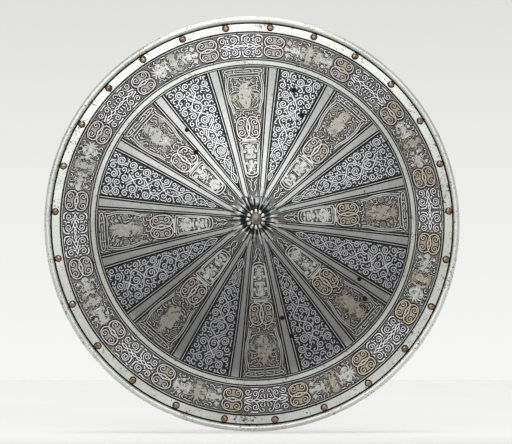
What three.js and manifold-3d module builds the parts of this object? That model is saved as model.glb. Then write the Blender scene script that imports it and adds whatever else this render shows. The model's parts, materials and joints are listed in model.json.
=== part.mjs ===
// Etched steel round shield, of the kind carried on foot and in parades about 1580.
// Millimetres, +Z up. The shield stands upright: its face looks towards -Y, and the
// origin is on the axis of the bowl, in the plane that the back of the rim touches.
// Angles run clockwise from the top, as seen from the front.
import * as THREE from 'three';
import { mergeVertices } from 'three/addons/utils/BufferGeometryUtils.js';
import Module from 'manifold-3d';

const wasm = await Module();
wasm.setup();

// Whole shield
const shieldRadius = 290;
const plateThickness = 1.5;
const clearance = 0.3;
const overrun = 4;

// Rolled rim over its wire
const wireRadius = 2.9;
const rollSides = 8;
const seamGap = 1.1;
const creaseWidth = 1.4;

// Flange that carries the lining rivets
const flangeWidth = 11.6;
const flangeSet = 2.4;
const flangeTiltDeg = 8;

// Dished middle: a low pointed dome
const dishRise = 74;
const dishPointShare = 0.4;

// Etched zones, sunk below the polished strips and rings
const etchDepth = 0.4;
const etchRun = 0.5;
const borderWidth = 39;
const ringWidth = 12;
const sectorCount = 8;
const trophyTurnDeg = -4.1;
const trophyHalfDeg = 8.3;
const stripOuterWidth = 10.8;
const stripInnerWidth = 4.8;
const stripSwellPower = 1.9;
const edgeLineOuterWidth = 5.4;
const edgeLineInnerWidth = 3.6;
const meetRadius = 42;

// Embossed boss and the rosette on it
const bossRadius = 34;
const bossRise = 4;
const bossCrestShare = 0.4;
const bossSeatShare = 0.25;
const bossShoulderShare = 0.62;
const seatRadius = 15.5;
const rosetteRadius = 14;
const rosetteHeight = 4.2;
const rosetteEdge = 1;
const petalCount = 12;
const petalNotchShare = 0.82;
const petalGrooveShare = 0.45;
// Rows of the rosette, as shares of its radius, its height and the depth of its grooves
const rosetteRowShares = [[0.5, 0.94, 0.2], [0.78, 0.74, 1], [1, 0, 1]];
const bossRivetHeadRadius = 7.6;
const bossRivetHeadHeight = 3.2;
const bossShankRadius = 1.6;
const bossClenchRadius = 3;
const bossClenchHeight = 1.2;
const bossWasherRadius = 11;
const bossWasherThickness = 1.2;

// Lining band and its rivets
const liningWidth = 23;
const liningInset = 1.6;
const liningThickness = 2.5;
const rivetCount = 26;
const rivetInset = 5.6;
const rivetTurnDeg = 0.28;
const rivetDriftPhaseDeg = 3;
const rivetDriftCosDeg = 3.24;
const rivetDriftSinDeg = 1.42;
const rivetHeadRadius = 4.4;
const rivetHeadHeight = 2.5;
const headRoundRadiusShare = 0.7;
const headRoundHeightShare = 0.62;
const rivetShankRadius = 1.3;
const rivetClenchRadius = 2.2;
const rivetClenchHeight = 0.7;
const washerSide = 7.4;
const washerThickness = 1;
const rivetSides = 8;
const boreSides = 6;

// Holes of the lost arm straps, two at each strap end: share of the dish radius, degrees
const strapHoleRadius = 2.6;
const strapHoleShares = [
  [0.706, 16.9], [0.595, 24.2],
  [0.579, 323.3], [0.46, 319.1],
  [0.515, 164.3], [0.616, 162],
  [0.613, 118.9], [0.691, 124.8],
];

// Sizes worked out from the ones above
const halfColumns = 4;
const columnsPerSector = 2 * halfColumns + 2;
const columnCount = sectorCount * columnsPerSector;
const rollInner = wireRadius + clearance;
const rollOuter = rollInner + plateThickness;
const rollRadius = shieldRadius - rollOuter;
const rollAxisY = -rollOuter;
const creaseRadius = rollRadius - rollOuter;
const flangeOuterRadius = creaseRadius - creaseWidth;
const dishRadius = creaseRadius - flangeWidth;
const ringOuterRadius = dishRadius - borderWidth;
const panelRadius = ringOuterRadius - ringWidth;
const rivetRadius = creaseRadius - rivetInset;
const liningOuterRadius = creaseRadius - liningInset;
const liningInnerRadius = liningOuterRadius - liningWidth;
const flangeSlope = Math.tan(THREE.MathUtils.degToRad(flangeTiltDeg));
const flangeOuterY = -2 * rollOuter + flangeSet;
const dishEdgeY = flangeOuterY - (flangeOuterRadius - dishRadius) * flangeSlope;

const radians = THREE.MathUtils.degToRad;
const mix = THREE.MathUtils.lerp;
const share = (value, from, to) => THREE.MathUtils.clamp((value - from) / (to - from), 0, 1);

// Front and back of the plate

function dishY(radius) {
  const s = radius / dishRadius;
  return dishEdgeY - dishRise * (1 - (1 - dishPointShare) * s * s - dishPointShare * s);
}

function dishSlope(radius) {
  const s = radius / dishRadius;
  return (dishRise * (2 * (1 - dishPointShare) * s + dishPointShare)) / dishRadius;
}

function frontY(radius) {
  if (radius >= dishRadius) return flangeOuterY - (flangeOuterRadius - radius) * flangeSlope;
  return dishY(radius);
}

function slopeAt(radius) {
  return radius >= dishRadius ? flangeSlope : dishSlope(radius);
}

function backY(radius) {
  return frontY(radius) + plateThickness * Math.hypot(1, slopeAt(radius));
}

// Boss: rises to a crest and dips to the flat seat of the rosette
const bossCrestRadius = mix(seatRadius, bossRadius, bossCrestShare);
const seatY = dishY(seatRadius) - bossRise * bossSeatShare;
const bossRows = [
  [(bossCrestRadius + bossRadius) / 2, bossShoulderShare],
  [bossCrestRadius, 1],
].map(([radius, riseShare]) => [radius, dishY(radius) - bossRise * riseShare]);

// Edges of the polished strips, as angles from the middle of a trophy panel
function stripEdges(radius) {
  const r = THREE.MathUtils.clamp(radius, meetRadius, panelRadius);
  const s = share(r, meetRadius, panelRadius);
  const line = mix(edgeLineInnerWidth, edgeLineOuterWidth, s);
  const width = mix(stripInnerWidth, stripOuterWidth, s ** stripSwellPower);
  const inner = radians(trophyHalfDeg) + line / r;
  return { inner, outer: inner + width / r, run: etchRun / r };
}

// Ten columns in each sector: strip, trophy panel, strip, then the scroll panel's middle
function sectorColumns(radius) {
  const { inner, outer, run } = stripEdges(radius);
  const half = [inner - run, inner, outer, outer + run];
  const angles = [...half.map((a) => -a).reverse(), 0, ...half, Math.PI / sectorCount];
  const even = (2 * Math.PI) / columnCount;
  const blend = share(radius, ringOuterRadius, dishRadius);
  return angles.map((angle, i) => mix(angle, (i - halfColumns) * even, blend));
}
const stripColumns = new Set([1, 2, 6, 7]);

// One ring of points of the swept plate. relief says which columns stay at full height.
function plateRow(radius, y, relief) {
  const points = [];
  const sector = sectorColumns(radius);
  for (let k = 0; k < sectorCount; k += 1) {
    const turn = (k * 2 * Math.PI) / sectorCount + radians(trophyTurnDeg);
    sector.forEach((angle, column) => {
      const full = relief === 'full' || (relief === 'strips' && stripColumns.has(column));
      const a = turn + angle;
      points.push([radius * Math.sin(a), full ? y : y + etchDepth, radius * Math.cos(a)]);
    });
  }
  return points;
}

// Rings joined into one closed skin, the last ring to the first
function closedSweep(rows) {
  const count = rows[0].length;
  const positions = new Float32Array(rows.flat(2));
  const index = [];
  rows.forEach((row, j) => {
    const here = j * count;
    const next = ((j + 1) % rows.length) * count;
    for (let i = 0; i < count; i += 1) {
      const k = (i + 1) % count;
      index.push(here + i, here + k, next + i, here + k, next + k, next + i);
    }
  });
  const geometry = new THREE.BufferGeometry();
  geometry.setAttribute('position', new THREE.BufferAttribute(positions, 3));
  geometry.setIndex(index);
  return geometry;
}

// Solids in and out of the boolean library

function toSolid(geometry) {
  const bare = geometry.clone();
  bare.deleteAttribute('normal');
  bare.deleteAttribute('uv');
  const merged = mergeVertices(bare);
  const vertProperties = new Float32Array(merged.attributes.position.array);
  const triVerts = new Uint32Array(merged.index.array);
  return new wasm.Manifold(new wasm.Mesh({ numProp: 3, vertProperties, triVerts }));
}

function toGeometry(solid) {
  const mesh = solid.getMesh();
  const geometry = new THREE.BufferGeometry();
  geometry.setAttribute('position', new THREE.BufferAttribute(mesh.vertProperties, 3));
  geometry.setIndex(new THREE.BufferAttribute(mesh.triVerts, 1));
  return geometry;
}

// Places a shape made about the Y axis at a radius and angle, square to the plate there
function placed(object, radius, y, angle, slope) {
  object.rotation.x = -Math.atan(slope);
  object.position.set(0, y, radius);
  const turn = new THREE.Group();
  turn.rotation.y = angle;
  turn.add(object);
  return turn;
}

function cutHoles(geometry, holes) {
  let solid = toSolid(geometry);
  holes.forEach(({ bore, radius, y, angle, slope, depth }) => {
    const wall = bore / Math.cos(Math.PI / boreSides);
    const drill = new THREE.Mesh(new THREE.CylinderGeometry(wall, wall, depth, boreSides));
    const turn = placed(drill, radius, y, angle, slope);
    turn.updateMatrixWorld(true);
    solid = solid.subtract(toSolid(drill.geometry.clone().applyMatrix4(drill.matrixWorld)));
  });
  return toGeometry(solid);
}

// Where the rivets and the strap holes go

function rivetAngle(k) {
  const even = (k * 360) / rivetCount;
  const t = radians(even + rivetDriftPhaseDeg);
  const drift = rivetDriftCosDeg * Math.cos(t) + rivetDriftSinDeg * Math.sin(t);
  return Math.PI / 2 - radians(even + rivetTurnDeg + drift);
}
const rivetPlaces = Array.from({ length: rivetCount }, (_, k) => rivetAngle(k));

const rivetHoles = rivetPlaces.map((angle) => ({
  bore: rivetShankRadius + clearance,
  radius: rivetRadius,
  y: frontY(rivetRadius),
  angle,
  slope: flangeSlope,
  depth: 2 * (plateThickness + liningThickness + overrun),
}));

const strapHoles = strapHoleShares.map(([radiusShare, degrees]) => {
  const radius = radiusShare * dishRadius;
  return {
    bore: strapHoleRadius,
    radius,
    y: frontY(radius),
    angle: radians(degrees),
    slope: dishSlope(radius),
    depth: 2 * (plateThickness + overrun),
  };
});

// Materials

function metal(color, roughness) {
  return new THREE.MeshStandardMaterial({ color, roughness, metalness: 1 });
}
const etchedSteel = metal('#9a9a98', 0.38);
const darkIron = metal('#4c4a48', 0.6);
const capBrass = metal('#8a5f3c', 0.45);
const wornCopper = metal('#8d7a70', 0.5);
const leather = new THREE.MeshStandardMaterial({ color: '#5a3c28', roughness: 0.85, metalness: 0 });

function piece(name, geometry, material) {
  const bare = geometry.index ? geometry : mergeVertices(geometry);
  const mesh = new THREE.Mesh(bare, material);
  mesh.name = name;
  return mesh;
}

// Corner k of the many-sided round of a given inside radius, about the roll's middle
function rollCorner(inside, k) {
  const a = ((k + 0.5) * 2 * Math.PI) / rollSides;
  const reach = inside / Math.cos(Math.PI / rollSides);
  return [rollRadius + reach * Math.cos(a), rollAxisY + reach * Math.sin(a)];
}

// The plate, hammered from one sheet, with its edge turned back over the wire
function shieldPlate() {
  const shankHole = bossShankRadius + clearance;
  const domeShares = [0, 0.14, 0.33, 0.55, 0.78, 1];
  const domeRadii = domeShares.map((s) => mix(meetRadius, panelRadius, s));
  const front = [
    [shankHole, seatY, 'full'],
    [seatRadius, seatY, 'full'],
    ...bossRows.map(([r, y]) => [r, y, 'full']).reverse(),
    [bossRadius, dishY(bossRadius), 'full'],
    ...domeRadii.map((r) => [r, frontY(r), 'strips']),
    ...[
      [panelRadius + etchRun, 'full'],
      [ringOuterRadius - etchRun, 'full'],
      [ringOuterRadius, 'sunk'],
      [(ringOuterRadius + dishRadius) / 2, 'sunk'],
      [dishRadius - etchRun, 'sunk'],
      [dishRadius, 'full'],
      [flangeOuterRadius, 'full'],
    ].map(([r, relief]) => [r, frontY(r), relief]),
  ];
  // Round the wire: from the crease over the front, the outside and the back to the lip
  const turns = Array.from({ length: rollSides }, (_, i) => i + rollSides / 2);
  const outside = turns.map((k) => rollCorner(rollOuter, k));
  const inside = turns.map((k) => rollCorner(rollInner, k)).reverse();
  const flangeBackY = backY(flangeOuterRadius);
  const lipY = flangeBackY + seamGap;
  const roll = [
    ...outside,
    [rollRadius - rollOuter, lipY],
    [rollRadius - rollInner, lipY],
    ...inside,
    [rollRadius - rollInner, flangeBackY],
  ].map(([r, y]) => [r, y, 'full']);
  const backRadii = [flangeOuterRadius, dishRadius, ...domeRadii.slice(1).reverse()];
  const back = [
    ...backRadii.map((r) => [r, backY(r)]),
    [bossRadius, backY(bossRadius)],
    ...bossRows.map(([r, y]) => [r, y + plateThickness]),
    [seatRadius, seatY + plateThickness],
    [shankHole, seatY + plateThickness],
  ].map(([r, y]) => [r, y, 'full']);
  const rows = [...front, ...roll, ...back].map(([r, y, relief]) => plateRow(r, y, relief));
  return piece('shield_plate', cutHoles(closedSweep(rows), [...rivetHoles, ...strapHoles]), etchedSteel);
}

// The wire keeps to the columns of the roll round it
function rimWire() {
  const corners = Array.from({ length: rollSides }, (_, k) => rollCorner(wireRadius, k));
  const rows = corners.map(([r, y]) => plateRow(r, y, 'full'));
  return piece('rim_wire', closedSweep(rows), darkIron);
}

// Stiff leather band riveted round the back, to which the cloth lining was sewn. It keeps
// the flange's cone and stands off the dish.
function liningBand() {
  const coneY = (r) => backY(liningOuterRadius) - (liningOuterRadius - r) * flangeSlope + clearance;
  const profile = [
    [liningInnerRadius, 0], [liningOuterRadius, 0],
    [liningOuterRadius, liningThickness], [liningInnerRadius, liningThickness],
    [liningInnerRadius, 0],
  ].map(([r, behind]) => new THREE.Vector2(r, coneY(r) + behind));
  const band = new THREE.LatheGeometry(profile, columnCount / 2);
  return piece('lining_band', cutHoles(band, rivetHoles), leather);
}

// Lathe profile of a rivet about the Y axis: domed head towards -Y, clenched end towards +Y
function rivetGeometry({ head, height, shank, grip, clench, clenchHeight, sides }) {
  const profile = [
    [0, -height], [head * headRoundRadiusShare, -height * headRoundHeightShare], [head, 0], [shank, 0],
    [shank, grip], [clench, grip], [0, grip + clenchHeight],
  ].map(([r, y]) => new THREE.Vector2(r, y));
  return new THREE.LatheGeometry(profile, sides);
}

function liningRivets() {
  const stack = plateThickness + liningThickness + washerThickness + 4 * clearance;
  const geometry = rivetGeometry({
    head: rivetHeadRadius, height: rivetHeadHeight, shank: rivetShankRadius, grip: stack,
    clench: rivetClenchRadius, clenchHeight: rivetClenchHeight, sides: rivetSides,
  });
  return rivetPlaces.map((angle, k) => {
    const rivet = piece(`lining_rivet_${String(k + 1).padStart(2, '0')}`, geometry, capBrass);
    return placed(rivet, rivetRadius, frontY(rivetRadius) - clearance, angle, flangeSlope);
  });
}

// Square iron washers under the clenched ends, cut from sheet
function liningWashers() {
  const half = washerSide / 2;
  const outline = new THREE.Shape([
    new THREE.Vector2(-half, -half), new THREE.Vector2(half, -half),
    new THREE.Vector2(half, half), new THREE.Vector2(-half, half),
  ]);
  const bore = (rivetShankRadius + clearance) / Math.cos(Math.PI / boreSides);
  const hole = Array.from({ length: boreSides }, (_, k) => {
    const a = (-k * 2 * Math.PI) / boreSides;
    return new THREE.Vector2(bore * Math.cos(a), bore * Math.sin(a));
  });
  outline.holes.push(new THREE.Path(hole));
  const geometry = new THREE.ExtrudeGeometry(outline, { depth: washerThickness, bevelEnabled: false });
  geometry.rotateX(-Math.PI / 2);
  const behind = plateThickness + liningThickness + 2 * clearance;
  return rivetPlaces.map((angle, k) => {
    const washer = piece(`lining_washer_${String(k + 1).padStart(2, '0')}`, geometry, darkIron);
    const seat = new THREE.Group();
    seat.add(washer);
    washer.position.y = behind;
    return placed(seat, rivetRadius, frontY(rivetRadius), angle, flangeSlope);
  });
}

// Fluted rosette: a low dome whose edge and crown are drawn in between the petals
function bossRosette() {
  const steps = 4;
  const count = petalCount * steps;
  const bore = bossShankRadius + clearance;
  const rise = [
    [bore, 1, 0],
    ...rosetteRowShares.map(([s, height, groove]) => [s * rosetteRadius, height, groove]),
  ];
  const ring = (radius, height, groove) => Array.from({ length: count }, (_, i) => {
    const a = (i * 2 * Math.PI) / count;
    const dip = groove * Math.abs(Math.sin((a * petalCount) / 2)) ** 2;
    const r = radius * mix(1, petalNotchShare, dip);
    const h = mix(height, height * petalGrooveShare, dip);
    return [r * Math.sin(a), -h, r * Math.cos(a)];
  });
  const top = rise.map(([r, s, groove]) => {
    return ring(r, rosetteEdge + (rosetteHeight - rosetteEdge) * s, groove);
  });
  const under = [ring(rosetteRadius, 0, 1), ring(bore, 0, 0)];
  const rosette = piece('boss_rosette', closedSweep([...top, ...under]), wornCopper);
  rosette.position.y = seatY - clearance;
  return rosette;
}

function bossRivet() {
  const stack = rosetteHeight + plateThickness + bossWasherThickness + 4 * clearance;
  const geometry = rivetGeometry({
    head: bossRivetHeadRadius, height: bossRivetHeadHeight, shank: bossShankRadius, grip: stack,
    clench: bossClenchRadius, clenchHeight: bossClenchHeight, sides: 2 * rivetSides,
  });
  const rivet = piece('boss_rivet', geometry, wornCopper);
  rivet.position.y = seatY - rosetteHeight - 2 * clearance;
  return rivet;
}

function bossBackWasher() {
  const near = seatY + plateThickness + clearance;
  const far = near + bossWasherThickness;
  const bore = (bossShankRadius + clearance) / Math.cos(Math.PI / (2 * rivetSides));
  const profile = [
    [bore, near], [bossWasherRadius, near], [bossWasherRadius, far], [bore, far], [bore, near],
  ].map(([r, y]) => new THREE.Vector2(r, y));
  return piece('boss_back_washer', new THREE.LatheGeometry(profile, 2 * rivetSides), darkIron);
}

const group = new THREE.Group();
group.name = 'round_shield';
group.add(shieldPlate(), rimWire(), bossRosette(), bossRivet(), bossBackWasher(), liningBand());
group.add(...liningRivets(), ...liningWashers());

export default group;
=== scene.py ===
import json
import math
import random

import bmesh
import bpy
import numpy as np
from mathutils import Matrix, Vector

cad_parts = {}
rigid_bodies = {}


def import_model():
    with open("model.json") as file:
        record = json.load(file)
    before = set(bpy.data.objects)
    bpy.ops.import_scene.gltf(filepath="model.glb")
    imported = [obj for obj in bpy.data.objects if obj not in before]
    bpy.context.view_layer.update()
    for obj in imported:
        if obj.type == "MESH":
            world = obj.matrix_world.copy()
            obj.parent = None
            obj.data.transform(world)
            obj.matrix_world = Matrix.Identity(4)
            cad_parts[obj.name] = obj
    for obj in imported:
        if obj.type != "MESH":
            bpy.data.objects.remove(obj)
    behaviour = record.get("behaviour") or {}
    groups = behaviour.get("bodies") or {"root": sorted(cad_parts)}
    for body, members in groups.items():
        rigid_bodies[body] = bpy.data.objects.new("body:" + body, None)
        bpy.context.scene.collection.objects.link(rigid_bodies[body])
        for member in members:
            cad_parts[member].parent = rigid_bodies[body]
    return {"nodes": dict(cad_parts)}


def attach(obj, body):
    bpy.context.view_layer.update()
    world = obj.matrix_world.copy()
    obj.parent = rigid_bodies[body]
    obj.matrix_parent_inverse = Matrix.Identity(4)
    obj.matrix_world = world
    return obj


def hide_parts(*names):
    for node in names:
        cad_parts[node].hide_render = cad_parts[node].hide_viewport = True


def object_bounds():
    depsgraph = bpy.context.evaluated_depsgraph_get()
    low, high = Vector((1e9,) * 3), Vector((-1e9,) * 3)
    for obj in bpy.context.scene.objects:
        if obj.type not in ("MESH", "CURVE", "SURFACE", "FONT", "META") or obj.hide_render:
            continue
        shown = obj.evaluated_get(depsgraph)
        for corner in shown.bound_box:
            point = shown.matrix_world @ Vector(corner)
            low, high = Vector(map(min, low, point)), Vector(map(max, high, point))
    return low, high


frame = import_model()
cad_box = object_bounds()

# Etched steel round shield. Sizes repeat the part's own, in millimetres; MM turns them into
# metres when a mesh is made. Angles run clockwise from the top, seen from the front.
MM = 0.001
TURN = 2 * math.pi

# The plate's sizes
SHIELD_RADIUS = 290.0
PLATE_THICKNESS = 1.5
CLEARANCE = 0.3
WIRE_RADIUS = 2.9
CREASE_WIDTH = 1.4
FLANGE_WIDTH = 11.6
FLANGE_SET = 2.4
FLANGE_SLOPE = math.tan(math.radians(8))
DISH_RISE = 74.0
DISH_POINT_SHARE = 0.4
ETCH_DEPTH = 0.4
BORDER_WIDTH = 39.0
RING_WIDTH = 12.0
SECTOR_COUNT = 8
TROPHY_TURN = math.radians(-4.1)
TROPHY_HALF = math.radians(8.3)
STRIP_OUTER_WIDTH = 10.8
STRIP_INNER_WIDTH = 4.8
STRIP_SWELL_POWER = 1.9
EDGE_LINE_OUTER_WIDTH = 5.4
EDGE_LINE_INNER_WIDTH = 3.6
MEET_RADIUS = 42.0
BOSS_RADIUS = 34.0
BOSS_RISE = 4.0
BOSS_CREST_SHARE = 0.4
BOSS_SEAT_SHARE = 0.25
SHOULDER_POWER = 1.4
SEAT_RADIUS = 15.5
ROSETTE_RADIUS = 14.0
ROSETTE_HEIGHT = 4.2
ROSETTE_EDGE = 1.0
PETAL_COUNT = 12
BOSS_HEAD_RADIUS = 7.6
BOSS_HEAD_HEIGHT = 3.2
BOSS_SHANK_RADIUS = 1.6
BOSS_CLENCH_RADIUS = 3.0
BOSS_CLENCH_HEIGHT = 1.2
BOSS_WASHER_RADIUS = 11.0
BOSS_WASHER_THICKNESS = 1.2
LINING_WIDTH = 23.0
LINING_INSET = 1.6
LINING_THICKNESS = 2.5
RIVET_COUNT = 26
RIVET_INSET = 5.6
RIVET_TURN_DEG = 0.28
RIVET_DRIFT_PHASE_DEG = 3.0
RIVET_DRIFT_COS_DEG = 3.24
RIVET_DRIFT_SIN_DEG = 1.42
RIVET_HEAD_RADIUS = 4.4
RIVET_HEAD_HEIGHT = 2.5
RIVET_SHANK_RADIUS = 1.3
RIVET_CLENCH_RADIUS = 2.2
RIVET_CLENCH_HEIGHT = 0.7
WASHER_SIDE = 7.4
WASHER_THICKNESS = 1.0
STRAP_HOLE_RADIUS = 2.6
# Each strap hole: share of the dish's radius, and degrees
STRAP_HOLES = [
    (0.706, 16.9), (0.595, 24.2), (0.579, 323.3), (0.46, 319.1),
    (0.515, 164.3), (0.616, 162.0), (0.613, 118.9), (0.691, 124.8),
]

# How far inside the border's middle its ornament is centred
BORDER_SET_IN = 2.6

ROLL_INNER = WIRE_RADIUS + CLEARANCE
ROLL_OUTER = ROLL_INNER + PLATE_THICKNESS
ROLL_RADIUS = SHIELD_RADIUS - ROLL_OUTER
ROLL_Y = -ROLL_OUTER
CREASE_RADIUS = ROLL_RADIUS - ROLL_OUTER
FLANGE_RADIUS = CREASE_RADIUS - CREASE_WIDTH
DISH_RADIUS = CREASE_RADIUS - FLANGE_WIDTH
RING_RADIUS = DISH_RADIUS - BORDER_WIDTH
PANEL_RADIUS = RING_RADIUS - RING_WIDTH
RIVET_RADIUS = CREASE_RADIUS - RIVET_INSET
LINING_RADIUS = CREASE_RADIUS - LINING_INSET
FLANGE_Y = -2 * ROLL_OUTER + FLANGE_SET
DISH_EDGE_Y = FLANGE_Y - (FLANGE_RADIUS - DISH_RADIUS) * FLANGE_SLOPE
BORDER_MIDDLE = (RING_RADIUS + DISH_RADIUS) / 2 - BORDER_SET_IN
SHANK_HOLE_RADIUS = BOSS_SHANK_RADIUS + CLEARANCE
SECTOR = TURN / SECTOR_COUNT


# Form of the plate

def mix(a, b, share):
    return a + (b - a) * share


def smooth(value, low, high):
    t = np.clip((value - low) / (high - low), 0, 1)
    return t * t * (3 - 2 * t)


def dish_y(r):
    s = r / DISH_RADIUS
    return DISH_EDGE_Y - DISH_RISE * (1 - (1 - DISH_POINT_SHARE) * s * s - DISH_POINT_SHARE * s)


def slope_at(r):
    s = r / DISH_RADIUS
    dish = DISH_RISE * (2 * (1 - DISH_POINT_SHARE) * s + DISH_POINT_SHARE) / DISH_RADIUS
    return np.where(r >= DISH_RADIUS, FLANGE_SLOPE, dish)


BOSS_CREST = mix(SEAT_RADIUS, BOSS_RADIUS, BOSS_CREST_SHARE)
SEAT_Y = dish_y(SEAT_RADIUS) - BOSS_RISE * BOSS_SEAT_SHARE
CREST_Y = dish_y(BOSS_CREST) - BOSS_RISE


def front_y(r):
    """Front of the plate, with the boss, before the etching."""
    r = np.asarray(r, float)
    flange = FLANGE_Y - (FLANGE_RADIUS - r) * FLANGE_SLOPE
    t = np.clip((r - BOSS_CREST) / (BOSS_RADIUS - BOSS_CREST), 0, 1)
    shoulder = dish_y(r) - BOSS_RISE * np.maximum(np.cos(t * math.pi / 2), 0) ** SHOULDER_POWER
    hollow = mix(SEAT_Y, CREST_Y, smooth(r, SEAT_RADIUS, BOSS_CREST))
    return np.where(r >= DISH_RADIUS, flange, np.where(r >= BOSS_CREST, shoulder, hollow))


# Slow unevenness left by the hammer: wavelength, direction and height of each wave
HAMMER_WAVES = [(96, 0.3, 0.16), (71, 1.5, 0.13), (53, 2.6, 0.09), (38, 0.9, 0.05), (29, 2.1, 0.03)]
PHASE_PER_HEADING = 7


def hammered(x, z):
    total = np.zeros(np.shape(x))
    for length, heading, height in HAMMER_WAVES:
        along = x * math.cos(heading) + z * math.sin(heading)
        total = total + height * np.sin(TURN * along / length + heading * PHASE_PER_HEADING)
    r = np.hypot(x, z)
    return total * (1 - smooth(r, RIVET_RADIUS, ROLL_RADIUS)) * smooth(r, SEAT_RADIUS, BOSS_RADIUS)


def turn_about_y(x, z, angle):
    """X and Z of places after a clockwise turn about the shield's axis, seen from the front."""
    return x * math.cos(angle) + z * math.sin(angle), z * math.cos(angle) - x * math.sin(angle)


def on_plate(angle, r, height):
    """Points at an angle and radius, standing height above the sunk ground of the etching."""
    x = r * np.sin(angle)
    z = r * np.cos(angle)
    y = front_y(r) + (ETCH_DEPTH - height) * np.hypot(1, slope_at(r)) - hammered(x, z)
    return np.stack([x, y, z], axis=-1)


def strip_widths(r):
    """Widths of the dark edge line and of the plain strip beside it."""
    s = np.clip((r - MEET_RADIUS) / (PANEL_RADIUS - MEET_RADIUS), 0, 1)
    line = mix(EDGE_LINE_INNER_WIDTH, EDGE_LINE_OUTER_WIDTH, s)
    strip = mix(STRIP_INNER_WIDTH, STRIP_OUTER_WIDTH, s ** STRIP_SWELL_POWER)
    return line, strip


def scroll_half_width(r):
    """Half the width of a scroll panel, along the arc."""
    line, strip = strip_widths(r)
    return (SECTOR / 2 - TROPHY_HALF) * r - 2 * line - strip


def trophy_half_width(r):
    return TROPHY_HALF * r


# Meshes and materials

def even_turns(count):
    return np.arange(count) * TURN / count


PLATE_CREASE_DEG = 30


def mesh_object(name, points, faces, slots, materials, flat=False, crease_deg=None):
    """An object made from points in millimetres."""
    mesh = bpy.data.meshes.new(name)
    mesh.from_pydata((np.asarray(points) * MM).tolist(), [], faces)
    for material in materials:
        mesh.materials.append(material)
    if slots is not None:
        mesh.polygons.foreach_set("material_index", np.asarray(slots, np.int32))
    mesh.polygons.foreach_set("use_smooth", np.full(len(mesh.polygons), not flat))
    mesh.update()
    if crease_deg is not None:
        mesh.set_sharp_from_angle(angle=math.radians(crease_deg))
    piece = bpy.data.objects.new(name, mesh)
    bpy.context.scene.collection.objects.link(piece)
    return piece


def ring(r, y, turns):
    return np.stack([r * np.sin(turns), y + 0 * turns, r * np.cos(turns)], axis=-1)


def skin(rings, closed):
    """Points and faces of a skin over rings of points. An open one gets a flat face at each end."""
    count = len(rings[0])
    here = np.arange(count)
    after = (here + 1) % count
    faces = []
    for j in range(len(rings) if closed else len(rings) - 1):
        low = j * count
        high = (j + 1) % len(rings) * count
        faces += np.stack([low + here, low + after, high + after, high + here], axis=-1).tolist()
    if not closed:
        last = (len(rings) - 1) * count
        faces += [here[::-1].tolist(), (last + here).tolist()]
    return np.concatenate(rings), faces


def belongs(piece, slot, *nodes):
    """Says that a piece rides on the shield and stands for CAD nodes, which it hides. The slot is not used.
    """
    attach(piece, "root")
    if nodes:
        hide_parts(*nodes)


# Painted shade, darker low on the bowl: the share of the light it leaves, the heights it fades out
# between, and the distances from the bowl's middle, all in metres, over which it fades out towards the
# border
PAINTED_SHADE_SHARE = 0.6
PAINTED_SHADE_HEIGHTS = (-0.16, 0.12)
PAINTED_SHADE_REACH = (0.205, 0.235)


def feed(tree, value, socket):
    """Links a socket to an output, or sets its number, vector or colour."""
    if isinstance(value, bpy.types.NodeSocket):
        tree.links.new(value, socket)
    else:
        socket.default_value = (*value, 1) if socket.type == "RGBA" else value


def node(tree, kind, output, inputs, **settings):
    """Adds a shader node, with values or links for its inputs, and gives one of its outputs."""
    made = tree.nodes.new("ShaderNode" + kind)
    for name, value in settings.items():
        setattr(made, name, value)
    for place, value in inputs.items():
        feed(tree, value, made.inputs[place])
    return made.outputs[output]


def ramp(tree, value, stops):
    """The grey or colour that stops give to a value."""
    made = tree.nodes.new("ShaderNodeValToRGB")
    elements = made.color_ramp.elements
    while len(elements) < len(stops):
        elements.new(0.5)
    for element, (position, colour) in zip(elements, stops):
        element.position = position
        element.color = (*colour, 1) if isinstance(colour, tuple) else (colour, colour, colour, 1)
    tree.links.new(value, made.inputs["Fac"])
    return made.outputs["Color"]


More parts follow.
